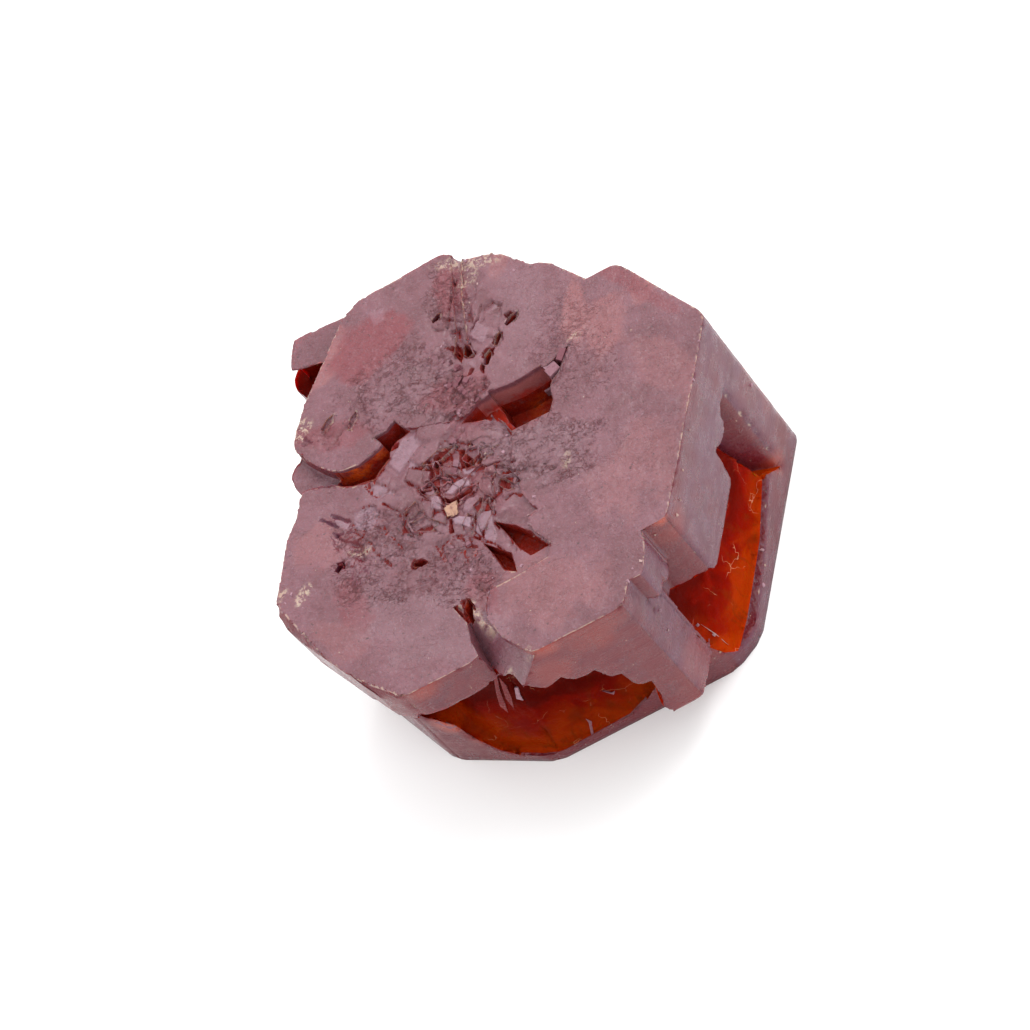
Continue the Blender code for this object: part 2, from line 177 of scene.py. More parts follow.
# %% Slice the facets into cells
SLICE = 0.21
BASE_SLICE = 0.6
UPPER_FROM = 8.2
HOLLOW_TO = 8.6
CREVICE_FROM = 8.9
WELD = 0.0005
SAME_PLANE = math.radians(0.1)
SLICE_SNAP = 0.0001
SLICED_REACH = 11.0
PRISM_ANGLES = (30, 50, 90, 150, 207, 240, 270, 300, 330)
UPPER, WALL, HOLLOW, CREVICE, BASE = range(5)
X, Y, Z = range(3)
BASE_TOP = 0.05
FOOT_TOP = 3.0
PLATE_REACH = 6.5
CRYSTAL_REACH = 11.5
LONG_LOOK = 12.0
ROUGH_SPOTS = [
    ((-1.5, -1.2), (2.5, 2.5)),
    ((0.2, 3.3), (1.2, 1.9)),
    ((-5.9, -0.9), (1.9, 2.2)),
    ((-3.5, 1.3), (1, 0.9)),
    ((-2.4, -3.9), (1.8, 1.1)),
    ((1.3, 5.6), (1.7, 1.6)),
]


def to_work(point):
    """From the frame's metres to millimetres round the crystal's axis."""
    return point / MM - AXIS


def to_frame(point):
    return (point + AXIS) * MM


def is_prism_face(normal):
    """True for a wall that stands on one of the crystal's own face directions."""
    if abs(normal.z) > 0.03:
        return False
    heading = math.degrees(math.atan2(normal.y, normal.x)) % 360.0
    return min(abs(heading - angle) for angle in PRISM_ANGLES) < 1.5


def zone_of(face, tree):
    """Which kind of surface a facet is, from where it lies and where it looks."""
    centre, normal = face.calc_center_median(), face.normal
    if centre.z < BASE_TOP and normal.z < -0.9:
        return BASE
    if centre.z > UPPER_FROM and normal.z > 0.3:
        return UPPER
    if centre.z > FOOT_TOP and normal.z > 0.5 and centre.xy.length < PLATE_REACH:
        return CREVICE
    hit = tree.ray_cast(centre + normal * 0.01, normal, LONG_LOOK)[0]
    if centre.z > CREVICE_FROM and hit is not None:
        return CREVICE
    if is_prism_face(normal) or (normal.z > 0.9 and centre.z < FOOT_TOP):
        return WALL
    inside = centre.xy.length < CRYSTAL_REACH and centre.z < HOLLOW_TO
    leaning = 0.1 < normal.z < 0.45
    return HOLLOW if inside and (leaning or hit is not None) else WALL


def slice_faces(bm, faces, axis, start, end, cell):
    """Cut faces by planes across one axis, halving the stack each time."""
    count = round((end - start) / cell)
    if count < 2 or not faces:
        return
    middle = start + cell * (count // 2)
    normal = Vector((0.0, 0.0, 0.0))
    normal[axis] = 1.0
    below, above, crossed = [], [], []
    for face in faces:
        reach = [vert.co[axis] for vert in face.verts]
        if max(reach) < middle + SLICE_SNAP:
            below.append(face)
        elif min(reach) > middle - SLICE_SNAP:
            above.append(face)
        else:
            crossed.append(face)
    geometry = {*crossed}
    for face in crossed:
        geometry.update(face.verts)
        geometry.update(face.edges)
    cut = bmesh.ops.bisect_plane(
        bm, geom=list(geometry), dist=SLICE_SNAP, plane_co=normal * middle, plane_no=normal
    )
    for item in cut["geom"]:
        if isinstance(item, bmesh.types.BMFace):
            side = below if item.calc_center_median()[axis] < middle else above
            side.append(item)
    slice_faces(bm, below, axis, start, middle, cell)
    slice_faces(bm, above, axis, middle, end, cell)


def slice_zones(bm, layer, zones, axes, cell):
    """Slice the facets of some zones across some axes; a steep facet skips the axis it faces."""
    reach = cell * math.ceil(SLICED_REACH / cell)
    for axis in axes:
        other = 1 - axis
        faces = [
            f for f in bm.faces if f[layer] in zones and (
                axis == Z or abs(f.normal.z) > 0.6 or abs(f.normal[axis]) <= abs(f.normal[other])
            )
        ]
        slice_faces(bm, faces, axis, -reach, reach, cell)


def split_cells(bm, wanted):
    """Split each wanted cell into four, by new points in the middle of its sides."""
    odd = [face for face in bm.faces if wanted(face) and len(face.verts) > 4]
    bmesh.ops.triangulate(bm, faces=odd)
    edges = {edge for face in bm.faces if wanted(face) for edge in face.edges}
    bmesh.ops.subdivide_edges(bm, edges=list(edges), cuts=1, use_grid_fill=True)


def in_rough_spot(face):
    """True for a cell of the upper face that lies where the crystal is broken up."""
    centre = face.calc_center_median()
    return any(
        math.hypot((centre.x - middle[0]) / reach[0], (centre.y - middle[1]) / reach[1]) < 1.0
        for middle, reach in ROUGH_SPOTS
    )


bm = bmesh.new()
bm.from_mesh(node.data)
for vert in bm.verts:
    vert.co = to_work(vert.co)
bmesh.ops.remove_doubles(bm, verts=bm.verts, dist=WELD)
bmesh.ops.dissolve_limit(bm, angle_limit=SAME_PLANE, verts=bm.verts, edges=bm.edges)
bm.normal_update()
facet_tree = BVHTree.FromBMesh(bm)
zone_layer = bm.faces.layers.int.new("zone")
for face in bm.faces:
    face[zone_layer] = zone_of(face, facet_tree)
print("facets by zone:", [sum(f[zone_layer] == z for f in bm.faces) for z in range(5)])

slice_zones(bm, zone_layer, (BASE,), (X, Y), BASE_SLICE)
slice_zones(bm, zone_layer, (WALL, HOLLOW, CREVICE), (Z,), SLICE)
slice_zones(bm, zone_layer, (WALL, HOLLOW, CREVICE, UPPER), (X, Y), SLICE)
split_cells(bm, lambda face: face[zone_layer] in (UPPER, CREVICE))
split_cells(bm, lambda face: face[zone_layer] == UPPER and in_rough_spot(face))
bmesh.ops.triangulate(bm, faces=bm.faces)
bm.normal_update()
print("cells:", len(bm.faces), "open edges:", sum(len(e.link_faces) != 2 for e in bm.edges))

# %% [markdown]
# ## Points, zones and edges as arrays
#
# From here on every point is moved by rules that look at its place, its zone and the edges it
# lies on. A Displace modifier could do one such rule. Arrays hold them all, and the same arrays
# later become the colour layers that the shaders read.

# %% Points and edges
SHARP = math.radians(28.0)

bm.verts.ensure_lookup_table()
points = np.array([vert.co[:] for vert in bm.verts])
normals = np.array([vert.normal[:] for vert in bm.verts])
touches = np.zeros((len(points), 5), dtype=bool)
for face in bm.faces:
    for vert in face.verts:
        touches[vert.index, face[zone_layer]] = True
on_rim = np.zeros(len(points), dtype=bool)
for edge in bm.edges:
    if edge.calc_face_angle_signed(0.0) > SHARP:
        on_rim[[vert.index for vert in edge.verts]] = True
upper = touches[:, UPPER]
print("points:", len(points), "on the upper face:", upper.sum(), "on sharp edges:", on_rim.sum())

# %% [markdown]
# ## Noise and patches
#
# Nature repeats nothing, so almost every rule is broken up by noise. Fractal noise gives soft
# clouds, and a patch is an oval whose edge the clouds have eaten into. Cell noise splits a
# plane into angular blocks, each with its own level and tilt, as a crystal breaks.

# %% Noise and patches
BROKEN_EDGE = 0.35


def clouds(places, size, octaves=4, layer=0.0):
    """Soft fractal noise, about -1 to 1, with features of the given size."""
    return np.array([
        noise.fractal((x / size + layer, y / size - layer, z / size), 1.0, 2.0, octaves)
        for x, y, z in places
    ])


def smooth(value, start, end):
    """0 before start, 1 after end, and a smooth slope between them."""
    t = np.clip((value - start) / (end - start), 0.0, 1.0)
    return t * t * (3.0 - 2.0 * t)


def patch(places, ragged, middle, reach, turn=0.0):
    """1 inside an oval patch of the plan and 0 outside, with a ragged edge."""
    lean = math.radians(turn)
    dx, dy = places[:, X] - middle[X], places[:, Y] - middle[Y]
    along = (dx * math.cos(lean) + dy * math.sin(lean)) / reach[0]
    across = (dy * math.cos(lean) - dx * math.sin(lean)) / reach[1]
    return smooth(1.0 + BROKEN_EDGE * ragged - np.hypot(along, across), -0.12, 0.3)


def patches(places, ragged, spots):
    """The strongest of several patches, each (middle, reach, turn, strength)."""
    cover = np.zeros(len(places))
    for middle, reach, turn, strength in spots:
        cover = np.maximum(cover, strength * patch(places, ragged, middle, reach, turn))
    return cover


def blocks(places, size, layer=0.0):
    """Angular blocks: each point's level and tilt (0 to 1, and a slope) and how near a gap is."""
    level, slope, gap = np.zeros(len(places)), np.zeros(len(places)), np.zeros(len(places))
    for i, (x, y, _) in enumerate(places):
        spot = Vector((x / size, y / size, layer))
        distances, sites = noise.voronoi(spot)
        lot = noise.cell_vector(sites[0] * 7.0)
        level[i] = abs(lot.x) % 1.0
        slope[i] = ((spot.x - sites[0].x) * lot.y + (spot.y - sites[0].y) * lot.z) * size
        gap[i] = (distances[1] - distances[0]) * size * 0.5
    return level, slope, gap


print("a cell's lot:", [round(v, 2) for v in noise.cell_vector((3.2, 1.1, 0.4))])

# %% [markdown]
# ## Relief of the upper face
#
# Around its middle the plate is broken up. The frame's solid has coarse chips there, which are
# levelled first and then carved again with finer forms: sunken blocks with straight walls, flat
# facets at slightly different heights, and narrow red gaps between them. Round about, acid has
# crept along the layers and crinkled the skin. Growth layers end in low steps, and there are
# hair cracks. Every form only takes material away from the plate's own level, so the crystal
# keeps its outer size.

# %% Relief of the upper face
LEVELLED = [
    ((-1.5, -0.9), (2.9, 2.8), (0, 0.22, 0.85, 1.02, 9), (0, 0.09, 0.12, 1.02, 9)),
    ((1.1, 6.9), (1, 2.9), (0, 0.45, 0.6, 9), (0, 0.05, 0.6, 9)),
    ((-1.45, 2.05), (1, 0.6), (0, 0.7, 1, 9), (0, 0.08, 1, 9)),
    ((-5.1, 4.35), (1.4, 0.9), (0, 0.7, 1, 9), (0, 0.10, 1, 9)),
]
BEND = 0.05
BLOCK_SIZE = 0.95
BLOCK_DROP = 0.10
BLOCK_TILT = 0.08
GAP_WIDTH = 0.03
GAP_DEPTH = 0.10
GAP_SHADE = 0.35
CRUMB_SIZE = 0.42
CRUMB_DROP = 0.14
STEP_SIZE = 2.6
STEP_COUNT = 7
STEP_HEIGHT = 0.022
CRINKLE_SIZE = (0.55, 0.28, 0.5)
CRINKLE_HEIGHT = 0.07
CRACK_WIDTH = 0.035
CRACK_DEPTH = 0.14
PIT_WALL = 0.07
PITS = [
    (0.55, [(-1.05, 0.6), (-0.8, 0.5), (-0.7, 0.15), (-0.5, -0.25), (-0.6, -0.5), (-1.1, -0.3)]),
    (0.50, [(-0.35, -0.1), (-0.15, -0.2), (-0.1, -0.45), (-0.35, -0.55), (-0.5, -0.55)]),
    (0.50, [(-1.8, 0.9), (-1.8, 0.65), (-1.95, 0.3), (-2.15, 0.3), (-2.05, 0.8)]),
    (0.40, [(-2.7, -0.3), (-2.5, -0.4), (-2.6, -0.6), (-2.9, -0.55), (-3, -0.35)]),
    (0.60, [(-2.4, -1), (-1.95, -1.35), (-1.4, -1.4), (-1, -1.4), (-0.9, -1.7), (-1.5, -1.65),
            (-1.7, -1.8), (-2.2, -1.45)]),
    (0.50, [(-2.3, -2.1), (-2.15, -2.2), (-2.3, -2.9), (-2.5, -2.85)]),
    (0.55, [(2.6, 5.3), (2.9, 5.3), (3.15, 5), (3.3, 4.75), (2.85, 4.65), (2.75, 5)]),
    (0.45, [(2.1, 4.7), (2.45, 4.5), (2.25, 4.3), (1.95, 4.15), (1.75, 4.35)]),
    (0.40, [(1.55, 4.3), (1.9, 4.1), (1.7, 3.75), (1.35, 3.5), (1.2, 3.85), (1.3, 4.2)]),
    (0.35, [(1.15, 3.7), (1.25, 3.45), (1.1, 3.05), (0.95, 3.4)]),
    (0.55, [(1.05, 5), (0.8, 4.2), (0.6, 4.25), (0.45, 4.6), (0.75, 4.8)]),
    (0.40, [(-0.1, 5.25), (0.25, 5.2), (0.35, 5), (0.35, 4.65), (0.2, 4.8), (0, 5.1)]),
    (0.40, [(-0.15, 6.75), (0.1, 6.8), (0.3, 6.7), (0.2, 6.55), (-0.15, 6.55)]),
    (0.30, [(0.65, 3.75), (0.85, 3.6), (0.65, 3.4), (0.35, 3.4)]),
    (0.35, [(-3.4, 2.4), (-3.1, 2.3), (-3.3, 2), (-3.7, 2.1)]),
    (0.50, [(-2.95, -5.75), (-2.65, -5.8), (-2.5, -6.45), (-2.85, -6.4), (-3.1, -6.65), (-3.05, -6.2)]),
    (0.35, [(-7.2, -1.4), (-6.85, -1.55), (-6.9, -1.9), (-7.15, -1.85)]),
    (0.40, [(-4.2, -3.05), (-3.95, -3.35), (-4.15, -3.6), (-4.45, -3.4)]),
]
# Facets: fall in mm, a shade from dark to pale that paints light and shade on the facet, and its
# outline.
FACETS = [
    (0.02, 0.6, [(-1.5, -0.7), (-0.95, -0.9), (-1, -1.3), (-1.9, -1.2), (-2.15, -1.05)]),
    (0.05, 0.5, [(-2.65, -0.75), (-2.35, -0.9), (-2.3, -1.35), (-2.5, -1.7), (-2.85, -1.35)]),
    (0.04, 0.6, [(-2.15, -2.2), (-1.8, -2.25), (-1.4, -2.6), (-1.6, -3.1), (-2.15, -2.5)]),
    (0.03, 0.4, [(-2.9, 2.4), (-2.45, 2.2), (-2.25, 1.8), (-2.7, 1.4), (-3.6, 0.9), (-3.9, 1.6)]),
    (0.08, 0.6, [(-1.15, -0.3), (-0.6, -0.6), (-0.7, -0.9), (-1.15, -0.65)]),
    (0.03, -0.25, [(-0.35, 1.5), (1.3, 0.6), (1, -0.1), (0, -0.2), (-0.6, 0.7)]),
    (0.14, -0.5, [(0, -3.05), (0.65, -3.75), (0.45, -4.2), (-0.6, -3.2)]),
    (0.06, -0.8, [(-3.7, -0.55), (-3.1, -0.7), (-3.1, -1.5), (-3.75, -1.2)]),
    (0.10, -0.35, [(1.05, 6.6), (1.45, 6.5), (1.05, 5.7), (0.45, 5.8), (0.75, 6.45)]),
    (0.08, 0.3, [(1.6, 5.75), (1.2, 5.4), (1, 5.2), (1.5, 4.5), (1.9, 5)]),
    (0.12, -0.3, [(1.9, 5.9), (2.4, 5.6), (2.7, 5), (2.2, 4.85), (1.8, 5.2)]),
    (0.10, -0.2, [(-0.2, -2.6), (0.4, -2.4), (0.8, -3.1), (0, -3)]),
    (0.05, 0.4, [(-1.1, -2.6), (-0.6, -2.7), (-0.7, -3.9), (-1, -4.2), (-1.5, -3.3)]),
    (0.12, -0.5, [(1.7, 8.6), (2.2, 8.4), (2.6, 7.4), (2, 7.1), (1.4, 7.7)]),
    (0.04, -0.45, [(-3.1, 0.9), (-2.3, 0.3), (-2.5, -0.35), (-2.95, -0.3), (-3.45, 0.45)]),
    (0.16, -1, [(-2.05, 0.15), (-1.25, -0.2), (-1.2, -0.5), (-1.5, -0.7), (-2, -0.65),
                (-2.25, -0.2)]),
    (0.05, -0.35, [(-0.45, -0.8), (-0.15, -1.35), (-0.3, -2.3), (-0.85, -1.7), (-0.9, -1.1)]),
    (0.05, 0.35, [(-1.5, -1.75), (-0.8, -1.8), (-0.85, -2.1), (-1.45, -2.35), (-1.7, -2.15)]),
    (0.03, 0.4, [(-6.75, 0.5), (-6.1, -0.1), (-6.3, -0.35), (-6.75, 0)]),
    (0.03, -0.3, [(-4.65, -2.7), (-4.25, -3.05), (-4.4, -3.4), (-4.85, -3.05)]),
    (0.08, -0.35, [(1.55, 6.5), (2.1, 6.9), (2.5, 6.6), (1.7, 5.8), (1.35, 5.6)]),
    (0.03, -0.35, [(-2.1, 5.4), (-1.3, 5.2), (-0.65, 4.2), (-0.95, 3.85), (-2.05, 4.6)]),
    (0.02, 0.3, [(-2.6, 8.7), (-1.75, 8.4), (-1.9, 7.8), (-2.45, 7.8)]),
]
BLOCK_SPOTS = [
    ((-1.9, -1.4), (2.4, 2), -40, 1),
    ((-3.9, 0.9), (1.4, 1), -30, 0.9),
    ((-6, -0.8), (1.3, 1.3), -30, 0.45),
    ((1.4, 5.6), (1.3, 1.6), -12, 0.6),
    ((-2.1, -6.2), (0.45, 0.9), 0, 0.8),
]
CRUMB_SPOTS = [
    ((-0.9, 0.6), (0.9, 1.2), -20, 0.8),
    ((0.2, 3.2), (1, 1.5), -10, 1),
    ((-0.7, 2.5), (1, 0.7), -20, 0.9),
    ((-2.4, -3.6), (1.3, 0.7), -35, 0.7),
    ((-5.6, 3.9), (1.4, 0.5), -25, 0.7),
]
CRINKLE_SPOTS = [
    ((2.2, -1.2), (2.8, 1.9), -50, 1),
    ((-2.4, 4.3), (2.6, 2.2), 0, 0.9),
    ((-5.4, -2.2), (2.6, 2.3), -30, 0.9),
    ((-2.8, -4.6), (2.2, 1.6), -40, 1),
    ((4.8, 2), (1.9, 3), 0, 0.5),
    ((0.6, 7.4), (1, 1.8), 0, 0.6),
    ((-0.3, 2.8), (1.4, 1.1), -20, 1),
    ((-2.3, -4.2), (1.5, 1), -40, 1),
]
CRACKS = [
    [(-7.4, 0.95), (-7, 0.5), (-6.65, 0)],
    [(-6.8, 0.75), (-6.45, 0.35), (-6.1, 0)],
    [(-6.85, -0.3), (-6.5, -0.4), (-6.1, -0.45), (-5.85, -0.95), (-5.6, -1.4), (-5.6, -1.8),
     (-5.3, -2.4), (-5.1, -2.85)],
    [(-0.65, -2.65), (-1.15, -2.55), (-1.3, -2.75), (-1.5, -3.1), (-2, -3.15), (-2.65, -2.85)],
    [(-1.6, -3.4), (-1.35, -3.75), (-0.95, -4.15), (-0.6, -4.9)],
    [(-0.65, -3.3), (-0.45, -3.85), (-0.35, -4.45), (-0.2, -4.9)],
    [(0.7, -2.7), (0.45, -2.5), (0.1, -2.6)],
    [(-2.3, 0.3), (-2.5, -0.35), (-2.4, -0.85), (-2.25, -1.15), (-2.4, -1.75), (-2.3, -2.1)],
    [(-2.3, 0.3), (-3.1, 0.9), (-3.45, 0.45), (-3.2, 0.05), (-2.95, -0.3)],
    [(-4.65, 0.1), (-4.45, -0.2), (-3.9, -1)],
    [(-4.7, -1.6), (-4.5, -2.2), (-4.45, -2.55)],
    [(-0.2, -0.8), (0.45, -0.9), (1.05, -1.3), (1.5, -1.8), (2.1, -2)],
    [(0.3, -1.4), (1, -1.7), (1.8, -2.3), (2.45, -2.45)],
    [(0.25, 5.9), (0.6, 6.7), (0.95, 7.3), (1.6, 8.5)],
    [(1.95, 6.25), (1.6, 5.75), (1.15, 5.35)],
    [(-0.25, 6.5), (-0.15, 6.2), (0.2, 6)],
]


def distance_to_line(places, line):
    """How far each point is, in plan, from the nearest stretch of a bent line."""
    nearest = np.full(len(places), 99.0)
    for (x0, y0), (x1, y1) in zip(line, line[1:]):
        run = np.array((x1 - x0, y1 - y0))
        away = places[:, :2] - (x0, y0)
        share = np.clip(away @ run / (run @ run), 0.0, 1.0)
        nearest = np.minimum(nearest, np.hypot(*(away - share[:, None] * run).T))
    return nearest


def distance_inside(places, outline):
    """How far each point lies inside an outline of the plan; 0 outside it."""
    inside = np.zeros(len(places), dtype=bool)
    x, y = places[:, X], places[:, Y]
    for (x0, y0), (x1, y1) in zip(outline, outline[1:] + outline[:1]):
        if y0 != y1:
            inside ^= ((y0 > y) != (y1 > y)) & (x < (x1 - x0) * (y - y0) / (y1 - y0) + x0)
    return np.where(inside, distance_to_line(places, outline + outline[:1]), 0.0)


def levelled(places):
    """The heights of the points once the frame's coarse chips and groove are levelled."""
    heights = places[:, Z].copy()
    for middle, reach, found, wanted in LEVELLED:
        near = smooth(1.0 - np.hypot(*((places[:, :2] - middle) / reach).T), 0.0, 0.15)
        down = THICKNESS - heights
        heights += near * (down - np.interp(down, found, wanted))
    return heights


def upper_relief(places):
    """How far each point sinks, how much of it is a gap, crinkled skin, and its tone and painted facet
    light.
    """
    ragged = clouds(places, 0.9, 5, 3.0)
    block_cover = smooth(patches(places, ragged, BLOCK_SPOTS), 0.15, 0.45)
    crumb_cover = patches(places, ragged, CRUMB_SPOTS)
    crinkle_cover = np.maximum(patches(places, ragged, CRINKLE_SPOTS), 0.12)
    layers = np.floor(STEP_COUNT * (0.5 + 0.5 * clouds(places, STEP_SIZE, 5, 9.0)))
    sink = STEP_HEIGHT * np.clip(layers, 0, STEP_COUNT)
    bent = places + BEND * clouds(places, 0.5, 3, 4.0)[:, None]
    level, slope, border = blocks(bent, BLOCK_SIZE, 0.35)
    gap = np.exp(-((border / GAP_WIDTH) ** 2)) * smooth(clouds(places, 1.2, 2, 5.0), -0.25, 0.15)
    sink += block_cover * (BLOCK_DROP * level + BLOCK_TILT * (slope + 0.4) + GAP_DEPTH * gap)
    open_gap = GAP_SHADE * block_cover * gap
    tone_and_facet_light = block_cover * (level - 0.5)
    level, slope, border = blocks(bent, CRUMB_SIZE, 4.2)
    gap = np.exp(-((border / (0.8 * GAP_WIDTH)) ** 2)) * smooth(level, 0.3, 0.6)
    sunk = CRUMB_DROP * level ** 2.0 + BLOCK_TILT * (slope + 0.2)
    sink += smooth(crumb_cover, 0.2, 0.6) * (sunk + 0.5 * GAP_DEPTH * gap)
    open_gap = np.maximum(open_gap, GAP_SHADE * smooth(crumb_cover, 0.3, 0.7) * gap)
    tone_and_facet_light += 0.8 * crumb_cover * (0.3 - level)
    ridges = np.abs(clouds(places / CRINKLE_SIZE, 1.0, 4, 1.0))
    sink += crinkle_cover * CRINKLE_HEIGHT * smooth(ridges, 0.0, 0.5)
    for fall, shade, outline in FACETS:
        inside = smooth(distance_inside(bent, outline), 0.0, 0.05)
        sink = np.where(inside > 0.0, sink * (1.0 - 0.8 * inside) + fall * inside, sink)
        open_gap *= 1.0 - inside
        tone_and_facet_light = tone_and_facet_light * (1.0 - inside) + shade * inside
    for fall, outline in PITS:
        inside = smooth(distance_inside(bent, outline), 0.0, PIT_WALL)
        sink = np.maximum(sink, fall * inside)
        open_gap = np.maximum(open_gap, smooth(inside, 0.05, 0.5))
    wander = 0.05 * clouds(places, 0.3, 2, 7.0)
    for line in CRACKS:
        crack = np.exp(-(((distance_to_line(places, line) + wander) / CRACK_WIDTH) ** 2))
        sink += CRACK_DEPTH * crack
        open_gap = np.maximum(open_gap, GAP_SHADE * crack)
    return np.maximum(sink, 0.0), open_gap, crinkle_cover, tone_and_facet_light


moved = points.copy()
top_side = upper | touches[:, CREVICE]
moved[top_side, Z] = levelled(points[top_side])
sink, gap, crinkle, tone_and_facet_light = (np.zeros(len(points)) for _ in range(4))
sink[upper], gap[upper], crinkle[upper], tone_and_facet_light[upper] = upper_relief(points[upper])
moved[:, Z] -= sink
print(f"deepest relief {sink.max():.2f} mm, mean {sink[upper].mean():.3f} mm")

# %% [markdown]
# ## Relief of the sides
#
# The prism faces are nearly flat, with faint growth lines along their length and a gentle
# unevenness. The hollows are glassy but stepped: each growth layer stopped a little short of
# the one below it. Both are pushed inwards along the face's own normal.

# %% Relief of the sides
LINE_SIZE = (2.4, 2.4, 0.22)
LINE_HEIGHT = 0.02
SWELL_SIZE = 2.2
SWELL_HEIGHT = 0.05
LEDGE_SIZE = 1.6
LEDGE_COUNT = 5
LEDGE_HEIGHT = 0.05

wall = touches[:, WALL] & ~upper
hollow = touches[:, HOLLOW] & ~touches[:, WALL] & ~upper
lines = clouds(points[wall] / LINE_SIZE, 1.0, 4, 2.0)
inward = np.zeros(len(points))
inward[wall] = LINE_HEIGHT * smooth(lines, -0.6, 0.6)
swell = clouds(points[hollow], SWELL_SIZE, 3, 6.0)
ledges = np.floor(LEDGE_COUNT * (0.5 + 0.5 * clouds(points[hollow], LEDGE_SIZE, 4, 8.0)))
inward[hollow] = SWELL_HEIGHT * (0.5 + 0.5 * swell) + LEDGE_HEIGHT * np.clip(ledges, 0, LEDGE_COUNT)
base = touches[:, BASE]
inward[base] = 0.0
moved -= normals * np.maximum(inward, 0.0)[:, None]
print("wall points:", wall.sum(), "hollow points:", hollow.sum())

# %% [markdown]
# ## Worn edges
#
# A soft mineral never keeps a razor edge. A Bevel modifier would give every edge one width.
# Here the points on sharp edges are pulled in along their normal, a little everywhere and more
# where noise says a chip has gone. The upright edges of the prism, which stand out and get the
# knocks, are rounder: every point near one is also pulled level towards the inside, and the
# more so the nearer it is.

# %% Worn edges
LEAST_WEAR = 0.25
WEAR_DEPTH = 0.025
ROUND_DEPTH = 0.09
ROUND_REACH = 0.30
CHIP_DEPTH = 0.14
CHIP_SIZE = 0.45


def is_upright(edge):
    """True for a sharp outward edge that stands nearly upright."""
    start, end = edge.verts
    run = abs(start.co.z - end.co.z) / max(edge.calc_length(), WELD)
    return run > 0.9 and edge.calc_face_angle_signed(0.0) > SHARP


worn = on_rim & ~base
chips = smooth(clouds(points[worn], CHIP_SIZE, 4, 11.0), 0.15, 0.75)
wear = np.zeros(len(points))
wear[worn] = LEAST_WEAR + (1.0 - LEAST_WEAR) * chips
worn_by = WEAR_DEPTH + CHIP_DEPTH * np.maximum(wear - LEAST_WEAR, 0.0)
moved -= normals * np.where(worn, worn_by, 0.0)[:, None]
upright = sorted({vert.index for edge in bm.edges if is_upright(edge) for vert in edge.verts})
corners = KDTree(len(upright))
for index in upright:
    corners.insert(points[index], index)
corners.balance()
for index, spot in enumerate(points):
    _, corner, away = corners.find(spot)
    if away < ROUND_REACH:
        outward = Vector((*normals[corner][:2], 0.0)).normalized()
        moved[index] -= ROUND_DEPTH * (1.0 - away / ROUND_REACH) * np.array(outward)
print(f"mean wear {wear[worn].mean():.2f}, chipped {(wear > 0.5).sum()}, upright {len(upright)}")
for vert, spot in zip(bm.verts, moved):
    vert.co = spot
bm.normal_update()

# %% [markdown]
# ## Colour layers
#
# A shader can make its own noise, but it cannot know what a crevice is. So some layers are
# worked out here and stored on the points. Rays sent out over a point's half of the sky show
# Rays sent into the crystal show how far light has to travel through it,
# which sets how orange the red glass looks. The other layers say where the skin is blushed,
# stained, clouded with frost or crusted. Some are painted light: glow where light leaks out of
# thin crystal, brighter glass low down and on the lit side, a redness set by the way each side
# faces, and pale highlights along the upper rim.

# %% Colour layers
RAY_COUNT = 16
FRONT_NOTCH = -6.7
WEST_NOTCH = -6.1
RAY_REACH = 4.0
THROUGH_REACH = 12.0
PATCH_SPOTS = {"blush": [
    ((0.6, -7.3), (2.2, 1.7), -30, 0.55),
    ((6.4, 2.4), (1.9, 0.8), 60, 0.9),
    ((5.3, 3.6), (0.5, 1.9), -20, 1),
    ((-7.4, -0.4), (1.3, 1.2), 20, 0.6),
    ((5.4, -4.2), (1.6, 2.4), -50, 0.5),
    ((8.3, 3.4), (1, 0.5), 60, 0.8),
    ((-4.9, 7.6), (1.6, 0.9), 45, 1.1),
    ((7.9, -0.6), (0.8, 2.6), 25, 0.5),
    ((3.6, 8.2), (0.5, 1.2), -30, 0.8),
    ((-8.2, -4.6), (1.8, 0.7), -50, 0.5),
], "stain": [
    ((-3, 7.2), (1.8, 1.3), 15, 1.2),
    ((-3.7, 6.3), (0.9, 0.7), 0, 1),
    ((-0.3, 2.9), (1.3, 1), -20, 0.8),
    ((0.9, 7.6), (0.7, 1.4), -10, 1),
    ((-1.5, -0.9), (1.9, 1.3), -40, 0.7),
    ((2.3, 0.3), (0.9, 0.7), 0, 0.6),
    ((-5.4, 3.9), (1.7, 0.6), -30, 0.8),
    ((7.4, 4.4), (0.4, 1.9), 30, 0.9),
    ((8.6, 2.3), (0.3, 1.4), 30, 0.8),
    ((-7.3, -3.3), (0.7, 1.2), 10, 0.7),
    ((-0.2, 2.3), (0.9, 1.6), 0, 0.5),
    ((-2, -6), (0.7, 1.2), 0, 0.8),
], "frost": [
    ((1.9, -0.9), (2.5, 1.9), -40, 1),
    ((-2, 4.2), (1.9, 1.2), 10, 0.7),
    ((-4.3, -5.9), (3.2, 1.9), -40, 0.9),
    ((-3.7, -2.4), (1.9, 0.9), -20, 0.6),
    ((3.3, 5.2), (1.2, 2.2), -20, 0.6),
    ((-4.6, 0.4), (1.2, 0.7), -30, 0.8),
], "crust": [
    ((-8.95, -2.1), (0.62, 0.22), 40, 1),
    ((-9.7, -1.6), (0.35, 0.2), 40, 0.8),
    ((-6.6, 5), (0.5, 0.3), 40, 0.9),
    ((-6.3, -1.4), (0.5, 0.25), -20, 0.7),
    ((2, 8.5), (1.6, 0.35), -25, 0.75),
    ((1.9, 7.7), (0.5, 0.25), 20, 0.5),
    ((2.9, -2.4), (0.5, 0.2), 70, 0.6),
    ((4.9, 2.6), (0.4, 0.2), 20, 0.7),
]}
# Painted light and reflection: how red each side is, set by the way it faces.
FACING_LIGHT_REDNESS = {30: 0.5, 90: 0.6, 150: 0.7, 207: 0.8, 240: 1.0, 270: 1.0, 300: 0.1, 330: 0.3}
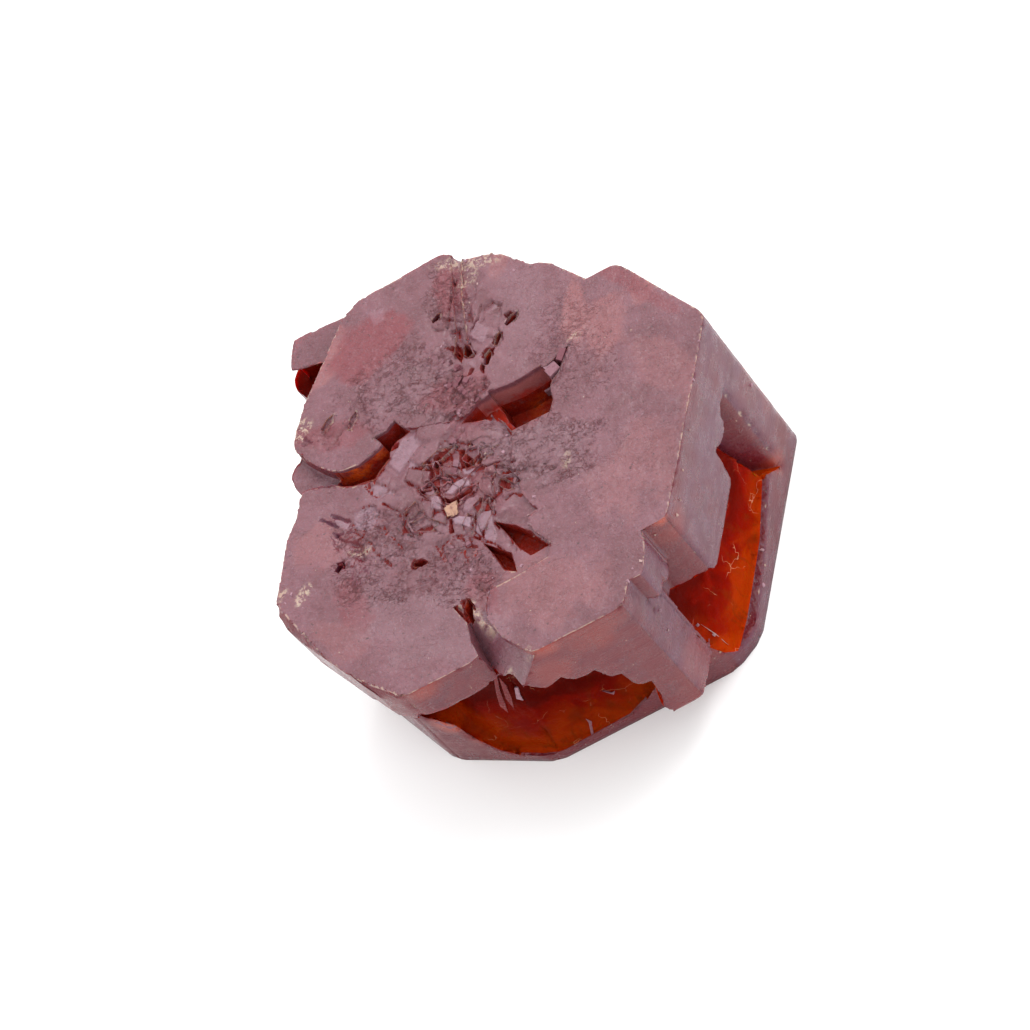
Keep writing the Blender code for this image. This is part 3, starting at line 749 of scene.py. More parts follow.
# Painted light: orange glow where light leaks out of thin crystal, and one painted orange glint on the
# small corner block's top.
GLOW_SPOTS = [
    ((-5.6, -8.5, 10.1), 1.1, 0.45),
    ((-0.6, -9.6, 10.5), 1.1, 0.7),
    ((1.4, -9.6, 9.9), 1.9, 0.3),
    ((-0.9, -9.6, 8.6), 1.3, 0.25),
    ((5.5, -6.9, 10.3), 0.5, 1.2),
    ((5.6, -6.6, 9.3), 1.2, 0.3),
    ((3.6, -8.6, 3), 2.2, 0.3),
    ((9.4, 0.5, 3.4), 1, 0.3),
    ((-5.2, 2.3, 9.9), 1, 1),
    ((-4.2, 2.3, 9.9), 0.7, 1),
    ((2.3, 2.1, 8.3), 0.9, 0.8),
    ((-6.7, -6.2, 3.5), 1, 1),
    ((-5.8, -6.6, 2.3), 1, 0.7),
    ((-4.9, -6.9, 1.2), 1.2, 0.4),
    ((8.9, -1, 1.3), 0.9, 0.7),
]
CRUST_EDGE = [(-2.6, -6.1), (-2.5, -7.4), (-2.3, -8.2), (-1.9, -8.9), (-1.4, -9.5), (-1.1, -9.4)]
CRUST_WIDTH = 0.13
CRUST_RISE = (THICKNESS - 0.45, THICKNESS - 0.15)
LIT_SIDE = (2.6, 4.4)
RIM_FROM = 5.5
RIM_DROP = 0.4
SUNK_BY = 0.25
OPEN_CAVITY = (0.2, 0.5)
LOW_GLASS = (5.2, 0.2)
NOTCH_STAIN = 0.55


def sky_directions(count):
    """Directions spread evenly over the upper half of a sphere."""
    golden = math.pi * (3.0 - math.sqrt(5.0))
    spread = []
    for i in range(count):
        rise = 0.15 + 0.85 * (i + 0.5) / count
        flat = math.sqrt(1.0 - rise * rise)
        spread.append(Vector((flat * math.cos(golden * i), flat * math.sin(golden * i), rise)))
    return spread


def ray_lengths(tree, place, normal, directions, reach):
    """How far rays go from a point, over its side of the sky, before they meet the crystal."""
    turn = Vector((0.0, 0.0, 1.0)).rotation_difference(normal)
    start = place + normal * 0.02
    hits = (tree.ray_cast(start, turn @ way, reach)[3] for way in directions)
    return [reach if length is None else length for length in hits]


tree = BVHTree.FromBMesh(bm)
directions = sky_directions(RAY_COUNT)
cavity, through = np.zeros(len(points)), np.full(len(points), THROUGH_REACH)
sunk = top_side & (moved[:, Z] < THICKNESS - SUNK_BY)
glassy = touches[:, HOLLOW]
for vert in bm.verts:
    if sunk[vert.index] or glassy[vert.index]:
        free = ray_lengths(tree, vert.co, vert.normal, directions, RAY_REACH)
        cavity[vert.index] = sum(length < RAY_REACH for length in free) / RAY_COUNT
    if glassy[vert.index]:
        inner = ray_lengths(tree, vert.co, -vert.normal, directions, THROUGH_REACH)
        through[vert.index] = sum(inner) / RAY_COUNT
in_plate = top_side & (points[:, Y] > FRONT_NOTCH) & (points[:, X] > WEST_NOTCH)
depth = np.where(in_plate, THICKNESS - moved[:, Z], 0.0) * smooth(cavity, *OPEN_CAVITY)
ragged = clouds(points, 1.4, 6, 13.0)
blush, stain, frost, crust = (
    patches(points, 1.6 * ragged, spots) * top_side for spots in PATCH_SPOTS.values()
)
stain[touches[:, CREVICE] & ~upper & ~in_plate] = NOTCH_STAIN
edge_crust = np.exp(-((distance_to_line(points, CRUST_EDGE) / CRUST_WIDTH) ** 2))
edge_crust *= smooth(points[:, Z], *CRUST_RISE) * top_side
crust = np.maximum(crust, edge_crust)
# Painted light: the glow, strongest at each spot's middle.
glow = np.zeros(len(points))
for middle, reach, strength in GLOW_SPOTS:
    near = 1.0 - np.linalg.norm(points - middle, axis=1) / reach + 0.3 * ragged
    glow = np.maximum(glow, strength * smooth(near, 0.0, 0.8))
# Painted light: hollows brighter low down, where floor light comes through the thin base, and painted
# shade higher up.
low_floor_light = smooth(moved[:, Z], *LOW_GLASS)
# Painted light: hollows brighter on the lit side.
lit = smooth(points[:, X], *LIT_SIDE)
outer = np.hypot(points[:, X], points[:, Y]) > RIM_FROM
# Along the upper outer rim: pale, partly for chips and partly a painted highlight along the edge.
rim_chips_and_highlight = (on_rim & upper & outer & (points[:, Z] > THICKNESS - RIM_DROP)).astype(float)
# Painted light and reflection: each side's redness from the way it faces.
facing = np.degrees(np.arctan2(normals[:, Y], normals[:, X])) % 360.0
facing_light_redness = np.interp(facing, *zip(*sorted(FACING_LIGHT_REDNESS.items())), period=360.0)
print(f"{sunk.sum()} sunk points, mean cavity {cavity[sunk].mean():.2f}")
print("ways through the glass, mm:", np.percentile(through[glassy], (5, 25, 50, 75, 95)).round(1))

# %% [markdown]
# ## Back to a mesh
#
# The carved copy becomes an object of its own that stands for the frame's crystal. Its layers go
# along as point attributes. Each facet gets one of four finishes: frosted skin on the plate,
# prism face on the sides, red glass in the hollows, and fresh red where the skin is broken open.

# %% Make the crystal object
SHADE_SHARP = math.radians(34.0)
OPEN_GAP = 0.36
CLOSED_IN = 0.5
GREAT_X = (0.3, 4.6)
GREAT_Y = (1.2, 3.6)
GREAT_FALL = 1.3
SMALL_FALL = 0.27
STEEP = 0.45
LEANING = 0.8
SKIN, PRISM, GLASS, FRESH = range(4)

mesh = bpy.data.meshes.new("crystal")
slots = []
for face in bm.faces:
    zone = face[zone_layer]
    corners = [vert.index for vert in face.verts]
    middle = face.calc_center_median()
    in_great_one = GREAT_X[0] < middle.x < GREAT_X[1] and GREAT_Y[0] < middle.y < GREAT_Y[1]
    red_below = THICKNESS - (GREAT_FALL if in_great_one else SMALL_FALL)
    crevice_floor = zone == CREVICE and middle.z < red_below
    steep = face.normal.z < STEEP and middle.z < red_below
    closed_in = zone == UPPER and (cavity[corners].mean() > CLOSED_IN or steep)
    opened = zone in (UPPER, CREVICE) and gap[corners].mean() > OPEN_GAP
    if zone == HOLLOW:
        slots.append(GLASS)
    elif in_plate[corners].all() and (crevice_floor or closed_in or opened):
        slots.append(FRESH)
    elif zone in (UPPER, CREVICE) and not (middle.x < WEST_NOTCH and face.normal.z < LEANING):
        slots.append(SKIN)
    else:
        slots.append(PRISM)
for vert in bm.verts:
    vert.co = to_frame(vert.co)
bm.to_mesh(mesh)
bm.free()
crystal = bpy.data.objects.new("crystal", mesh)
scene.collection.objects.link(crystal)
layers = {
    "gap": gap, "crinkle": crinkle, "wear": wear, "cavity": cavity, "depth": depth,
    "blush": blush, "stain": stain, "frost": frost, "crust": crust, "through": through,
    "facing_light_redness": facing_light_redness, "tone_and_facet_light": tone_and_facet_light, "rim_chips_and_highlight": rim_chips_and_highlight, "glow": glow, "low_floor_light": low_floor_light, "lit": lit,
}
for name, values in layers.items():
    mesh.attributes.new(name, "FLOAT", "POINT").data.foreach_set("value", values.astype(np.float32))
mesh.shade_smooth()
mesh.set_sharp_from_angle(angle=SHADE_SHARP)
for polygon, slot in zip(mesh.polygons, slots):
    polygon.material_index = slot
print("triangles:", len(mesh.polygons), "by finish:", [slots.count(slot) for slot in range(4)])

# %% [markdown]
# ## Shader tools
#
# Node trees are easier to read in code when one line makes one node or lays one colour. The class
# below holds a material while it is built. Each of its tools places a node, joins it to what it
# reads, and gives back the socket that the next one needs. An input that is a word is read from
# the point layer of that name. Sizes are in millimetres: the object's coordinates, which are
# metres, are scaled once at the start.

# %% Shader tools
class Finish:
    """A node material that is built up one layer at a time."""

    def __init__(self, name):
        self.material = bpy.data.materials.new(name)
        self.material.use_nodes = True
        self.tree = self.material.node_tree
        self.shader = self.tree.nodes["Principled BSDF"]
        metres = self.put("TexCoord", {}).outputs["Object"]
        self.place = self.vector("SCALE", metres, 1.0 / MM)
        self.body = None

    def feed(self, made, inputs):
        """Sets a node's inputs: a value, another node's socket, or the name of a point layer."""
        for name, value in inputs.items():
            if isinstance(value, str):
                value = self.put("Attribute", {}, attribute_name=value).outputs["Fac"]
            if isinstance(value, bpy.types.NodeSocket):
                self.tree.links.new(value, made.inputs[name])
            else:
                made.inputs[name].default_value = value

    def put(self, kind, inputs, **settings):
        """A node of a kind, with its settings and its inputs."""
        made = self.tree.nodes.new("ShaderNode" + kind)
        for name, value in settings.items():
            setattr(made, name, value)
        self.feed(made, inputs)
        return made

    def maths(self, operation, first, second):
        return self.put("Math", {0: first, 1: second}, operation=operation).outputs[0]

    def times(self, first, second):
        return self.maths("MULTIPLY", first, second)

    def vector(self, operation, first, second):
        """The same for vectors; SCALE takes a number second."""
        inputs = {0: first, "Scale" if operation == "SCALE" else 1: second}
        return self.put("VectorMath", inputs, operation=operation).outputs[0]

    def remap(self, value, start, end, to_start=0.0, to_end=1.0):
        """Runs smoothly from to_start to to_end while the value runs from start to end."""
        inputs = {"Value": value, 1: start, 2: end, 3: to_start, 4: to_end}
        return self.put("MapRange", inputs, interpolation_type="SMOOTHSTEP").outputs[0]

    def mottle(self, size, detail=4.0, start=0.35, end=0.65, rough=0.6, twist=0.0, place=None):
        """Noise with features of a size in mm, stretched to run from 0 to 1."""
        clouds = self.put("TexNoise", {
            "Vector": self.place if place is None else place, "Scale": 1.0 / size,
            "Detail": detail, "Roughness": rough, "Distortion": twist,
        })
        return self.remap(clouds.outputs["Fac"], start, end)

    def tint(self, share, under, over):
        """One colour laid over another by a share."""
        inputs = {0: share, 6: under, 7: over}
        return self.put("Mix", inputs, data_type="RGBA", clamp_factor=True).outputs[2]

    def lay(self, colour, share, strength=None):
        """Lays a colour over the body by a share, times a strength."""
        if strength is not None:
            share = self.times(share, strength)
        self.body = self.tint(share, self.body, colour)

    def bump(self, height, distance):
        """Two layers of bump: the given heights, and a fine grain over everything."""
        first = self.put("Bump", {"Strength": 0.9, "Distance": distance, "Height": height})
        grain = self.mottle(0.08, 3.0, 0.3, 0.7)
        return self.put("Bump", {
            "Strength": 0.6, "Distance": 0.000012, "Height": grain, "Normal": first.outputs[0],
        }).outputs[0]

    def shine(self, **inputs):
        """Sets the shader's own inputs; a name's underscores stand for blanks."""
        self.feed(self.shader, {"Base Color": self.body})
        self.feed(self.shader, {name.replace("_", " "): v for name, v in inputs.items()})
        print(self.material.name, "has", len(self.tree.nodes), "nodes")


def colour(red, green, blue):
    return (red, green, blue, 1.0)


print("a finish has", len([name for name in vars(Finish) if name[0] != "_"]), "tools")

# %% [markdown]
# ## The frosted skin
#
# The skin is dark red crystal seen through a thin pale bloom. Most of its mauve is the tent,
# reflected by a surface with a high refractive index. The body colour below it changes from
# place to place: pink where the skin is thin and clean, dark red where it is stained, lilac grey
# where it is crinkled. Blocks have their own pale and dusky tone, the listed facets carry
# painted light and shade, pale edges are partly worn and partly a painted highlight, and small
# dark specks are painted shade of tiny pits. Gaps and crevices show the clean red body; the
# crevice walls are painted brighter, as light that comes through the crystal.

# %% Skin material
SKIN_MAUVE = colour(0.170, 0.062, 0.081)
SKIN_DEEP = colour(0.124, 0.036, 0.048)
SKIN_PINK = colour(0.232, 0.076, 0.082)
SKIN_STAIN = colour(0.165, 0.020, 0.030)
SKIN_DUSKY = colour(0.100, 0.024, 0.032)
SKIN_LILAC = colour(0.188, 0.092, 0.112)
SKIN_PALE = colour(0.345, 0.240, 0.300)
# Painted light: the crevice walls' brown is brighter than the skin, standing for light that comes
# through the crystal.
CREVICE_BROWN_LIT = colour(0.420, 0.135, 0.130)
CREVICE_RED = colour(0.400, 0.030, 0.020)
CRACK_RED = colour(0.110, 0.012, 0.016)
# Painted shade: small dark specks that stand for the shade in tiny pits.
PIT_SHADE = colour(0.050, 0.018, 0.022)
PALE_CRUST = colour(0.450, 0.330, 0.250)


def crackle(finish, size, width, twist):
    """Thin wandering lines between cells of a size in mm: 1 on a line, 0 away from it."""
    shift = finish.put("TexNoise", {"Vector": finish.place, "Scale": 2.0 / size, "Detail": 3.0})
    shift = finish.vector("SUBTRACT", shift.outputs["Color"], (0.5, 0.5, 0.5))
    bent = finish.vector("ADD", finish.place, finish.vector("SCALE", shift, twist * size))
    cells = finish.put("TexVoronoi", {"Vector": bent, "Scale": 1.0 / size},
                       feature="DISTANCE_TO_EDGE")
    return finish.remap(cells.outputs["Distance"], 0.0, width / size, 1.0, 0.0)


def wrinkles(finish, heading, length, width, thickness):
    """Short dark lines that run along a heading: contour lines of a stretched noise."""
    turn = {"Vector": finish.place, "Angle": -math.radians(heading)}
    turned = finish.put("VectorRotate", turn, rotation_type="Z_AXIS").outputs[0]
    stretched = finish.vector("MULTIPLY", turned, (1.0 / length, 1.0 / width, 1.0 / width))
    field = finish.put("TexNoise", {
        "Vector": stretched, "Scale": 1.0, "Detail": 4.0, "Roughness": 0.55, "Distortion": 0.5,
    })
    away = finish.maths("ABSOLUTE", finish.maths("SUBTRACT", field.outputs["Fac"], 0.5), 0.0)
    return finish.remap(away, 0.0, thickness, 1.0, 0.0)


skin = Finish("frosted_vanadinite")
crinkled = skin.remap("crinkle", 0.0, 1.0, 0.18, 1.0)
skin.body = skin.tint(skin.mottle(1.9, 6.0, 0.35, 0.65, 0.65), SKIN_MAUVE, SKIN_DEEP)
skin.lay(SKIN_PINK, "blush", 0.8)
skin.lay(SKIN_LILAC, "frost", 0.5)
skin.lay(SKIN_STAIN, "stain", 0.7)
# Pale and dusky: a random tone for each block and crumb, and painted light and shade on the listed
# facets.
skin.lay(SKIN_PALE, skin.remap("tone_and_facet_light", 0.0, 1.0, 0.0, 0.8))
skin.lay(SKIN_DUSKY, skin.remap("tone_and_facet_light", 0.0, -1.0, 0.0, 0.9))
skin.lay(SKIN_DEEP, skin.mottle(0.13, 4.0, 0.45, 0.72, 0.7), 0.35)
skin.lay(SKIN_PALE, skin.mottle(0.10, 3.0, 0.52, 0.78, 0.6, 0.4), 0.25)
specks = skin.times(skin.mottle(0.20, 3.0, 0.60, 0.66, 0.5, 0.3), crinkled)
skin.lay(CRACK_RED, specks, 0.6)

along = skin.times(wrinkles(skin, -18.0, 0.75, 0.32, 0.028), skin.mottle(0.7, 3.0, 0.42, 0.57))
across = skin.times(wrinkles(skin, 28.0, 0.50, 0.22, 0.020), skin.mottle(0.9, 3.0, 0.50, 0.62))
lines = skin.times(skin.maths("MAXIMUM", along, across), crinkled)
skin.lay(CRACK_RED, lines, 0.65)
cells = skin.times(crackle(skin, 0.5, 0.025, 1.3), skin.mottle(1.3, 3.0, 0.5, 0.62))
cells = skin.times(cells, crinkled)
skin.lay(CRACK_RED, cells, 0.7)
# Small dark specks over the skin: painted shade of tiny pits.
skin.lay(PIT_SHADE, skin.mottle(0.20, 2.0, 0.68, 0.73), 0.8)
skin.lay(PALE_CRUST, skin.mottle(0.15, 3.0, 0.74, 0.78, 0.5, 0.3), 0.8)
# Pale edges: partly worn, chipped crust and partly a painted highlight along the edges.
edge = skin.maths("MAXIMUM", skin.remap("wear", 0.3, 0.7), "rim_chips_and_highlight")
skin.lay(PALE_CRUST, skin.times(edge, skin.mottle(0.3, 4.0, 0.42, 0.58)), 0.75)
skin.lay(PALE_CRUST, skin.times("crust", skin.mottle(0.22, 5.0, 0.46, 0.58, 0.7, 0.5)), 0.85)

# Crevice walls: their brown, painted brighter as light that comes through the crystal.
skin.lay(CREVICE_BROWN_LIT, skin.remap("depth", 0.25, 0.5, 0.0, 0.7))
waver = skin.maths("ADD", "depth", skin.mottle(0.5, 4.0, 0.2, 0.8))
skin.lay(CREVICE_RED, skin.remap(waver, 1.3, 2.0))
skin.lay(CRACK_RED, skin.remap("gap", 0.1, 0.45))
height = skin.times(skin.mottle(0.28, 4.0, 0.3, 0.7, 0.55, 0.4), crinkled)
dips = skin.maths("MAXIMUM", skin.maths("MAXIMUM", lines, cells), specks)
skin.shine(
    Roughness=skin.remap(skin.mottle(0.5, 4.0), 0.0, 1.0, 0.34, 0.50), IOR=1.57,
    Subsurface_Weight=0.12, Subsurface_Radius=(1.0, 0.12, 0.06), Subsurface_Scale=0.0010,
    Normal=skin.bump(skin.maths("SUBTRACT", height, dips), 0.00005),
)

# %% [markdown]
# ## The prism faces
#
# The side faces are smoother than the upper face and carry less bloom, so more of the body
# shows. As painted light and reflection, each side runs from violet to dark red by the way it
# faces, and is warm where light leaks out just below a thin edge. A lower refractive index
# keeps the tent's reflection weaker than on the etched skin.

# %% Prism material
PRISM_VIOLET = colour(0.108, 0.030, 0.056)
PRISM_RED = colour(0.120, 0.011, 0.017)
PRISM_DUSKY = colour(0.085, 0.014, 0.026)
PRISM_GLOW = colour(0.360, 0.060, 0.030)
PRISM_PALE = colour(0.340, 0.240, 0.260)

prism = Finish("prism_face")
# Painted light and reflection: violet to dark red by the way each side faces.
facing_light_redness = prism.maths("ADD", "facing_light_redness", prism.mottle(3.1, 5.0, 0.2, 0.8))
prism.body = prism.tint(prism.remap(facing_light_redness, 0.45, 1.35), PRISM_VIOLET, PRISM_RED)
prism.lay(PRISM_DUSKY, prism.mottle(1.4, 5.0, 0.45, 0.7), 0.6)
# Painted light: orange glow where light leaks out.
prism.lay(PRISM_GLOW, "glow", 0.7)
flat = prism.vector("MULTIPLY", prism.place, (0.3, 0.3, 3.0))
growth = prism.mottle(0.6, 4.0, 0.5, 0.75, place=flat)
prism.lay(PRISM_DUSKY, growth, 0.25)
prism.lay(PRISM_PALE, prism.mottle(0.12, 4.0, 0.5, 0.8, 0.7, 0.3), 0.14)
prism.lay(PALE_CRUST, prism.mottle(0.16, 3.0, 0.72, 0.76, 0.5, 0.3), 0.8)
scratch = prism.times(crackle(prism, 1.7, 0.02, 1.0), prism.mottle(1.0, 3.0, 0.58, 0.64))
prism.lay(PRISM_PALE, scratch, 0.5)
# Pale edges: partly worn crust and partly a painted highlight along the edges.
edge = prism.remap("wear", 0.3, 0.7)
prism.lay(PALE_CRUST, prism.times(edge, prism.mottle(0.3, 4.0, 0.42, 0.58)), 0.75)
prism.shine(
    Roughness=prism.remap(prism.mottle(0.8, 4.0), 0.0, 1.0, 0.24, 0.38), IOR=1.41,
    Subsurface_Weight=0.15, Subsurface_Radius=(1.0, 0.12, 0.06), Subsurface_Scale=0.0010,
    Normal=prism.bump(prism.maths("SUBTRACT", growth, scratch), 0.00001),
)

# %% [markdown]
# ## Red glass in the hollows
#
# The hollows are fresh growth with no bloom, so the light that has crossed the body comes out
# here, orange where the way was short and dark red where it was long. This light is painted:
# dark red high up under the overhangs, orange low down near the white floor and on the lit side.

# %% Hollow material
GLASS_DARK = colour(0.062, 0.0012, 0.0002)
GLASS_RED = colour(0.125, 0.0022, 0.0001)
GLASS_ORANGE = colour(0.200, 0.0150, 0.0003)
GLASS_BROWN = colour(0.095, 0.0110, 0.0010)
GLASS_SCRATCH = colour(0.600, 0.300, 0.180)
LIT_GAIN = 0.75

glass = Finish("red_glass")
streak = glass.mottle(1.3, 4.0, 0.3, 0.7, 0.5, 0.8)
# Painted shade and light: dark red high up under the overhang, red to orange lower down.
painted_floor_light = glass.maths("ADD", "low_floor_light", glass.remap(streak, 0.0, 1.0, -0.15, 0.15))
glass.body = glass.tint(glass.remap(painted_floor_light, 0.10, 0.55), GLASS_DARK, GLASS_RED)
glass.lay(GLASS_ORANGE, glass.remap(painted_floor_light, 0.45, 1.0))
tall = glass.vector("MULTIPLY", glass.place, (1.0, 1.0, 0.35))
cloudy = glass.mottle(0.55, 5.0, 0.50, 0.68, 0.6, 0.6, tall)
glass.lay(GLASS_BROWN, cloudy, glass.times("low_floor_light", 0.7))
# Painted light: orange glow spots.
glass.lay(GLASS_ORANGE, "glow")
scratch = glass.times(crackle(glass, 2.2, 0.015, 0.8), glass.mottle(1.3, 2.0, 0.5, 0.6))
glass.lay(GLASS_SCRATCH, scratch, 0.4)
# Painted light: brighter on the lit side and where the way through is short.
gain = glass.maths("ADD", glass.times("lit", LIT_GAIN), 1.0)
gain = glass.times(gain, glass.remap("through", 1.5, 5.5, 1.2, 0.9))
glass.body = glass.vector("SCALE", glass.body, gain)
dents = {"Strength": 0.4, "Distance": 0.00006, "Height": glass.mottle(0.6, 5.0)}
glass.shine(
    Roughness=glass.remap(streak, 0.0, 1.0, 0.16, 0.30), IOR=1.5, Specular_IOR_Level=0.01,
    Subsurface_Weight=0.3, Subsurface_Radius=(1.0, 0.1, 0.01), Subsurface_Scale=0.0015,
    Normal=glass.put("Bump", dents).outputs[0],
)

# %% [markdown]
# ## Fresh red where the skin is broken open
#
# At the bottom of a pit or a crevice the surface is fresh and gets little light, and what
# it sends back has crossed the red body twice. A near absence of gloss keeps the
# white tent out of these depths. Deep floors, which are thin above the hollows, are painted
# orange where light leaks through them.

# %% Fresh material
FRESH_DARK = colour(0.150, 0.0260, 0.0290)
FRESH_DIM = colour(0.200, 0.0180, 0.0160)
FRESH_RED = colour(0.270, 0.0150, 0.0060)
FRESH_ORANGE = colour(0.520, 0.0750, 0.0080)
FRESH_BROWN = colour(0.200, 0.0520, 0.0520)

fresh = Finish("fresh_red")
waver = fresh.maths("ADD", "depth", fresh.mottle(0.5, 4.0, 0.2, 0.8))
fresh.body = fresh.tint(fresh.remap("cavity", 0.25, 0.85), FRESH_DARK, FRESH_DIM)
fresh.lay(FRESH_RED, fresh.remap(waver, 0.7, 1.5))
# Painted light: orange glow where light leaks through thin crystal.
fresh.lay(FRESH_ORANGE, "glow", fresh.mottle(0.8, 3.0, 0.40, 0.6))
fresh.lay(FRESH_BROWN, fresh.mottle(0.2, 4.0, 0.50, 0.75))
fresh.shine(
    Roughness=fresh.remap(waver, 0.0, 2.0, 0.25, 0.4), IOR=1.5, Specular_IOR_Level=0.1,
    Subsurface_Weight=0.15, Subsurface_Radius=(1.0, 0.1, 0.05), Subsurface_Scale=0.0010,
    Normal=fresh.bump(fresh.mottle(0.25, 3.0, 0.3, 0.7), 0.00003),
)
for finish in (skin, prism, glass, fresh):
    mesh.materials.append(finish.material)

# %% [markdown]
# ## Loose bits
#
# Broken blocks lie in the rubble, and pale crumbs sit in the cracks and on the edges. Each is a
# box with shaken corners, closed by a convex hull, as a real fragment is bounded by flat breaks.
# The thin splinters in the hollows are drawn by their outline and given a thickness. Rays and
# nearest points on the carved crystal seat them, so that every bit is partly sunk into what
# carries it. The bits are cut off at the height of the upper face, so the size stays as it was.

# %% Loose bits
BLOCK_SHAKE = 0.35
GRAIN_SHAKE = 0.60
TOP_LIMIT = THICKNESS - 0.004
BLOCK_FIELDS = [
    (14, (-1, 0.8), (0.5, 0.8), (0.15, 0.35)),
    (10, (-1.7, -0.4), (0.5, 0.4), (0.15, 0.35)),
    (22, (0.1, 3), (0.7, 1.1), (0.12, 0.30)),
    (10, (-2.2, -3.6), (0.9, 0.5), (0.12, 0.25)),
]
GRAIN_SPOTS = [
    (-0.17, -1.24), (-0.14, -1.63), (-0.12, -2.07), (0.93, -3.3), (1.22, -3.23), (0.69, -3.7),
    (0.61, -4.08), (0.57, -4.53), (0.89, -5.02), (-0.01, -0.26), (1.03, 0.07), (0.7, -0.59),
    (-0.24, -5.67), (-1.48, -5.54), (-2.2, -4.7), (1.22, 0.82), (1.5, 0.68), (-0.42, 1.98),
    (1.66, 8.5), (2, 8.56), (2.36, 8.36), (2.67, 8.35), (3.07, 8.28), (-0.15, 5.34),
    (2.13, 7.27), (3.35, 6.9), (3.73, 6.91), (0.52, 5.47), (1.96, 8.12), (2.15, 7.72),
    (1.54, 6.66), (-9.35, -1.75), (-9.7, -2), (-9.06, -2.27),
]
EDGE_GRAINS = [
    (9.52, -0.39, 10.4), (8.71, -1.81, 10.26), (7.75, -3.48, 9.8), (6.9, -4.94, 9.76),
    (6.32, -5.96, 9.54), (5.99, -6.51, 9.55), (3.80, -8.30, 10.45), (3.48, -8.69, 10.45),
    (4.20, -8.15, 10.45), (3.58, -8.51, 7.28), (3.39, -8.84, 6.28), (7.15, -4.33, 1.28),
    (6.97, -4.82, 0.95), (6.57, -5.52, 0.81), (9.94, 0.31, 5.11), (4.05, -7.35, 3.20),
    (4.28, -7.51, 2.29), (4.94, -6.94, 9.68),
]
TAN_GRAIN = ((-2.05, -1.85), 0.52)
PLATES = [
    ((3.66, 2.10, 10.03), 288, (0.55, 0.16, 0.65)),
    ((2.91, 2.17, 8.63), 275, (0.28, 0.16, 0.45)),
]
PLUGS = [
    ((3.69, 1.75), 20, (0.60, 0.48, 0.8), 0.35),
    ((4.26, 2.19), 50, (0.62, 0.30, 0.8), 0.1),
]
PLUG_SHAKE = 0.2
CHIP_THICKNESS = 0.045
CHIPS = [
    (-0.6, [(-4.03, -6.68, 5.36), (-3.86, -6.75, 5.50), (-4.20, -6.76, 4.60), (-4.42, -6.83, 3.80),
            (-4.58, -6.89, 3.06), (-4.63, -6.75, 3.54), (-4.45, -6.67, 4.35)]),
    (-0.6, [(-3.84, -6.79, 5.36), (-3.83, -6.90, 4.90), (-3.93, -7.01, 4.16), (-4.22, -7.03, 3.34),
            (-4.16, -6.88, 4.15)]),
    (0.55, [(-3.58, -7.08, 4.77), (-3.48, -7.11, 4.72), (-3.56, -7.20, 4.19), (-3.63, -7.25, 3.89),
            (-3.76, -7.14, 4.03)]),
    (0.30, [(-0.72, -7.56, 2.43), (-0.50, -7.62, 2.12), (-0.33, -7.64, 2.12), (-0.46, -7.64, 1.98)]),
    (0.20, [(-1.99, -7.76, 1.47), (-1.84, -7.81, 1.21), (-2.10, -7.93, 0.60), (-2.20, -7.92, 0.63),
            (-1.98, -7.80, 1.22)]),
    (0.30, [(-7.22, -6.08, 3.84), (-6.98, -6.12, 3.93), (-6.58, -6.47, 3.28), (-6.93, -6.28, 3.18)]),
    (0.90, [(4.15, -7.29, 3.06), (4.30, -7.47, 2.30), (4.52, -7.66, 1.36), (4.34, -7.48, 2.33)]),
]
dice = random.Random(7)


def shaken_box(bm, centre, size, turn, shake):
    """A box with shaken corners, closed by its convex hull; returns its corner points."""
    corners = []
    for signs in itertools.product((-0.5, 0.5), repeat=3):
        corner = Vector(s * length * dice.uniform(1.0 - shake, 1.0) for s, length in zip(signs, size))
        corners.append(bm.verts.new(centre + turn @ corner))
    hull = bmesh.ops.convex_hull(bm, input=corners)
    bmesh.ops.delete(bm, geom=hull["geom_interior"], context="VERTS")
    return [vert for vert in corners if vert.is_valid]


def thin_chip(bm, outline, thickness):
    """A thin flat chip with a given outline, half sunk into the surface; returns its points."""
    seats = [tree.find_nearest(Vector(spot)) for spot in outline]
    normal = sum((seat[1] for seat in seats), Vector()).normalized()
    sunk = [bm.verts.new(seat[0] - normal * thickness) for seat in seats]
    raised = [bm.verts.new(seat[0] + normal * thickness * dice.uniform(0.4, 1.3)) for seat in seats]
    bm.faces.new(raised)
    bm.faces.new(sunk[::-1])
    for i in range(len(seats)):
        bm.faces.new((sunk[i - 1], sunk[i], raised[i], raised[i - 1]))
    return sunk + raised


def from_above(x, y):
    """The carved surface below a place of the plan."""
    return tree.ray_cast(Vector((x, y, THICKNESS + 1.0)), Vector((0.0, 0.0, -1.0)))[0]


def any_turn(lean):
    """A free turn round the upright axis and a lean of up to some degrees."""
    spin = Matrix.Rotation(dice.uniform(0.0, math.tau), 3, "Z")
    return Matrix.Rotation(math.radians(dice.uniform(-lean, lean)), 3, "X") @ spin


def loose_piece(name, bm, paleness):
    """Makes an object of the bits; paleness is one value for each of their points."""
    for vert in bm.verts:
        vert.co = to_frame(Vector((*vert.co.xy, min(vert.co.z, TOP_LIMIT))))
    bmesh.ops.triangulate(bm, faces=bm.faces)
    bmesh.ops.recalc_face_normals(bm, faces=bm.faces)
    data = bpy.data.meshes.new(name)
    bm.to_mesh(data)
    bm.free()
    data.attributes.new("pale", "FLOAT", "POINT").data.foreach_set("value", paleness)
    made = bpy.data.objects.new(name, data)
    scene.collection.objects.link(made)
    return made


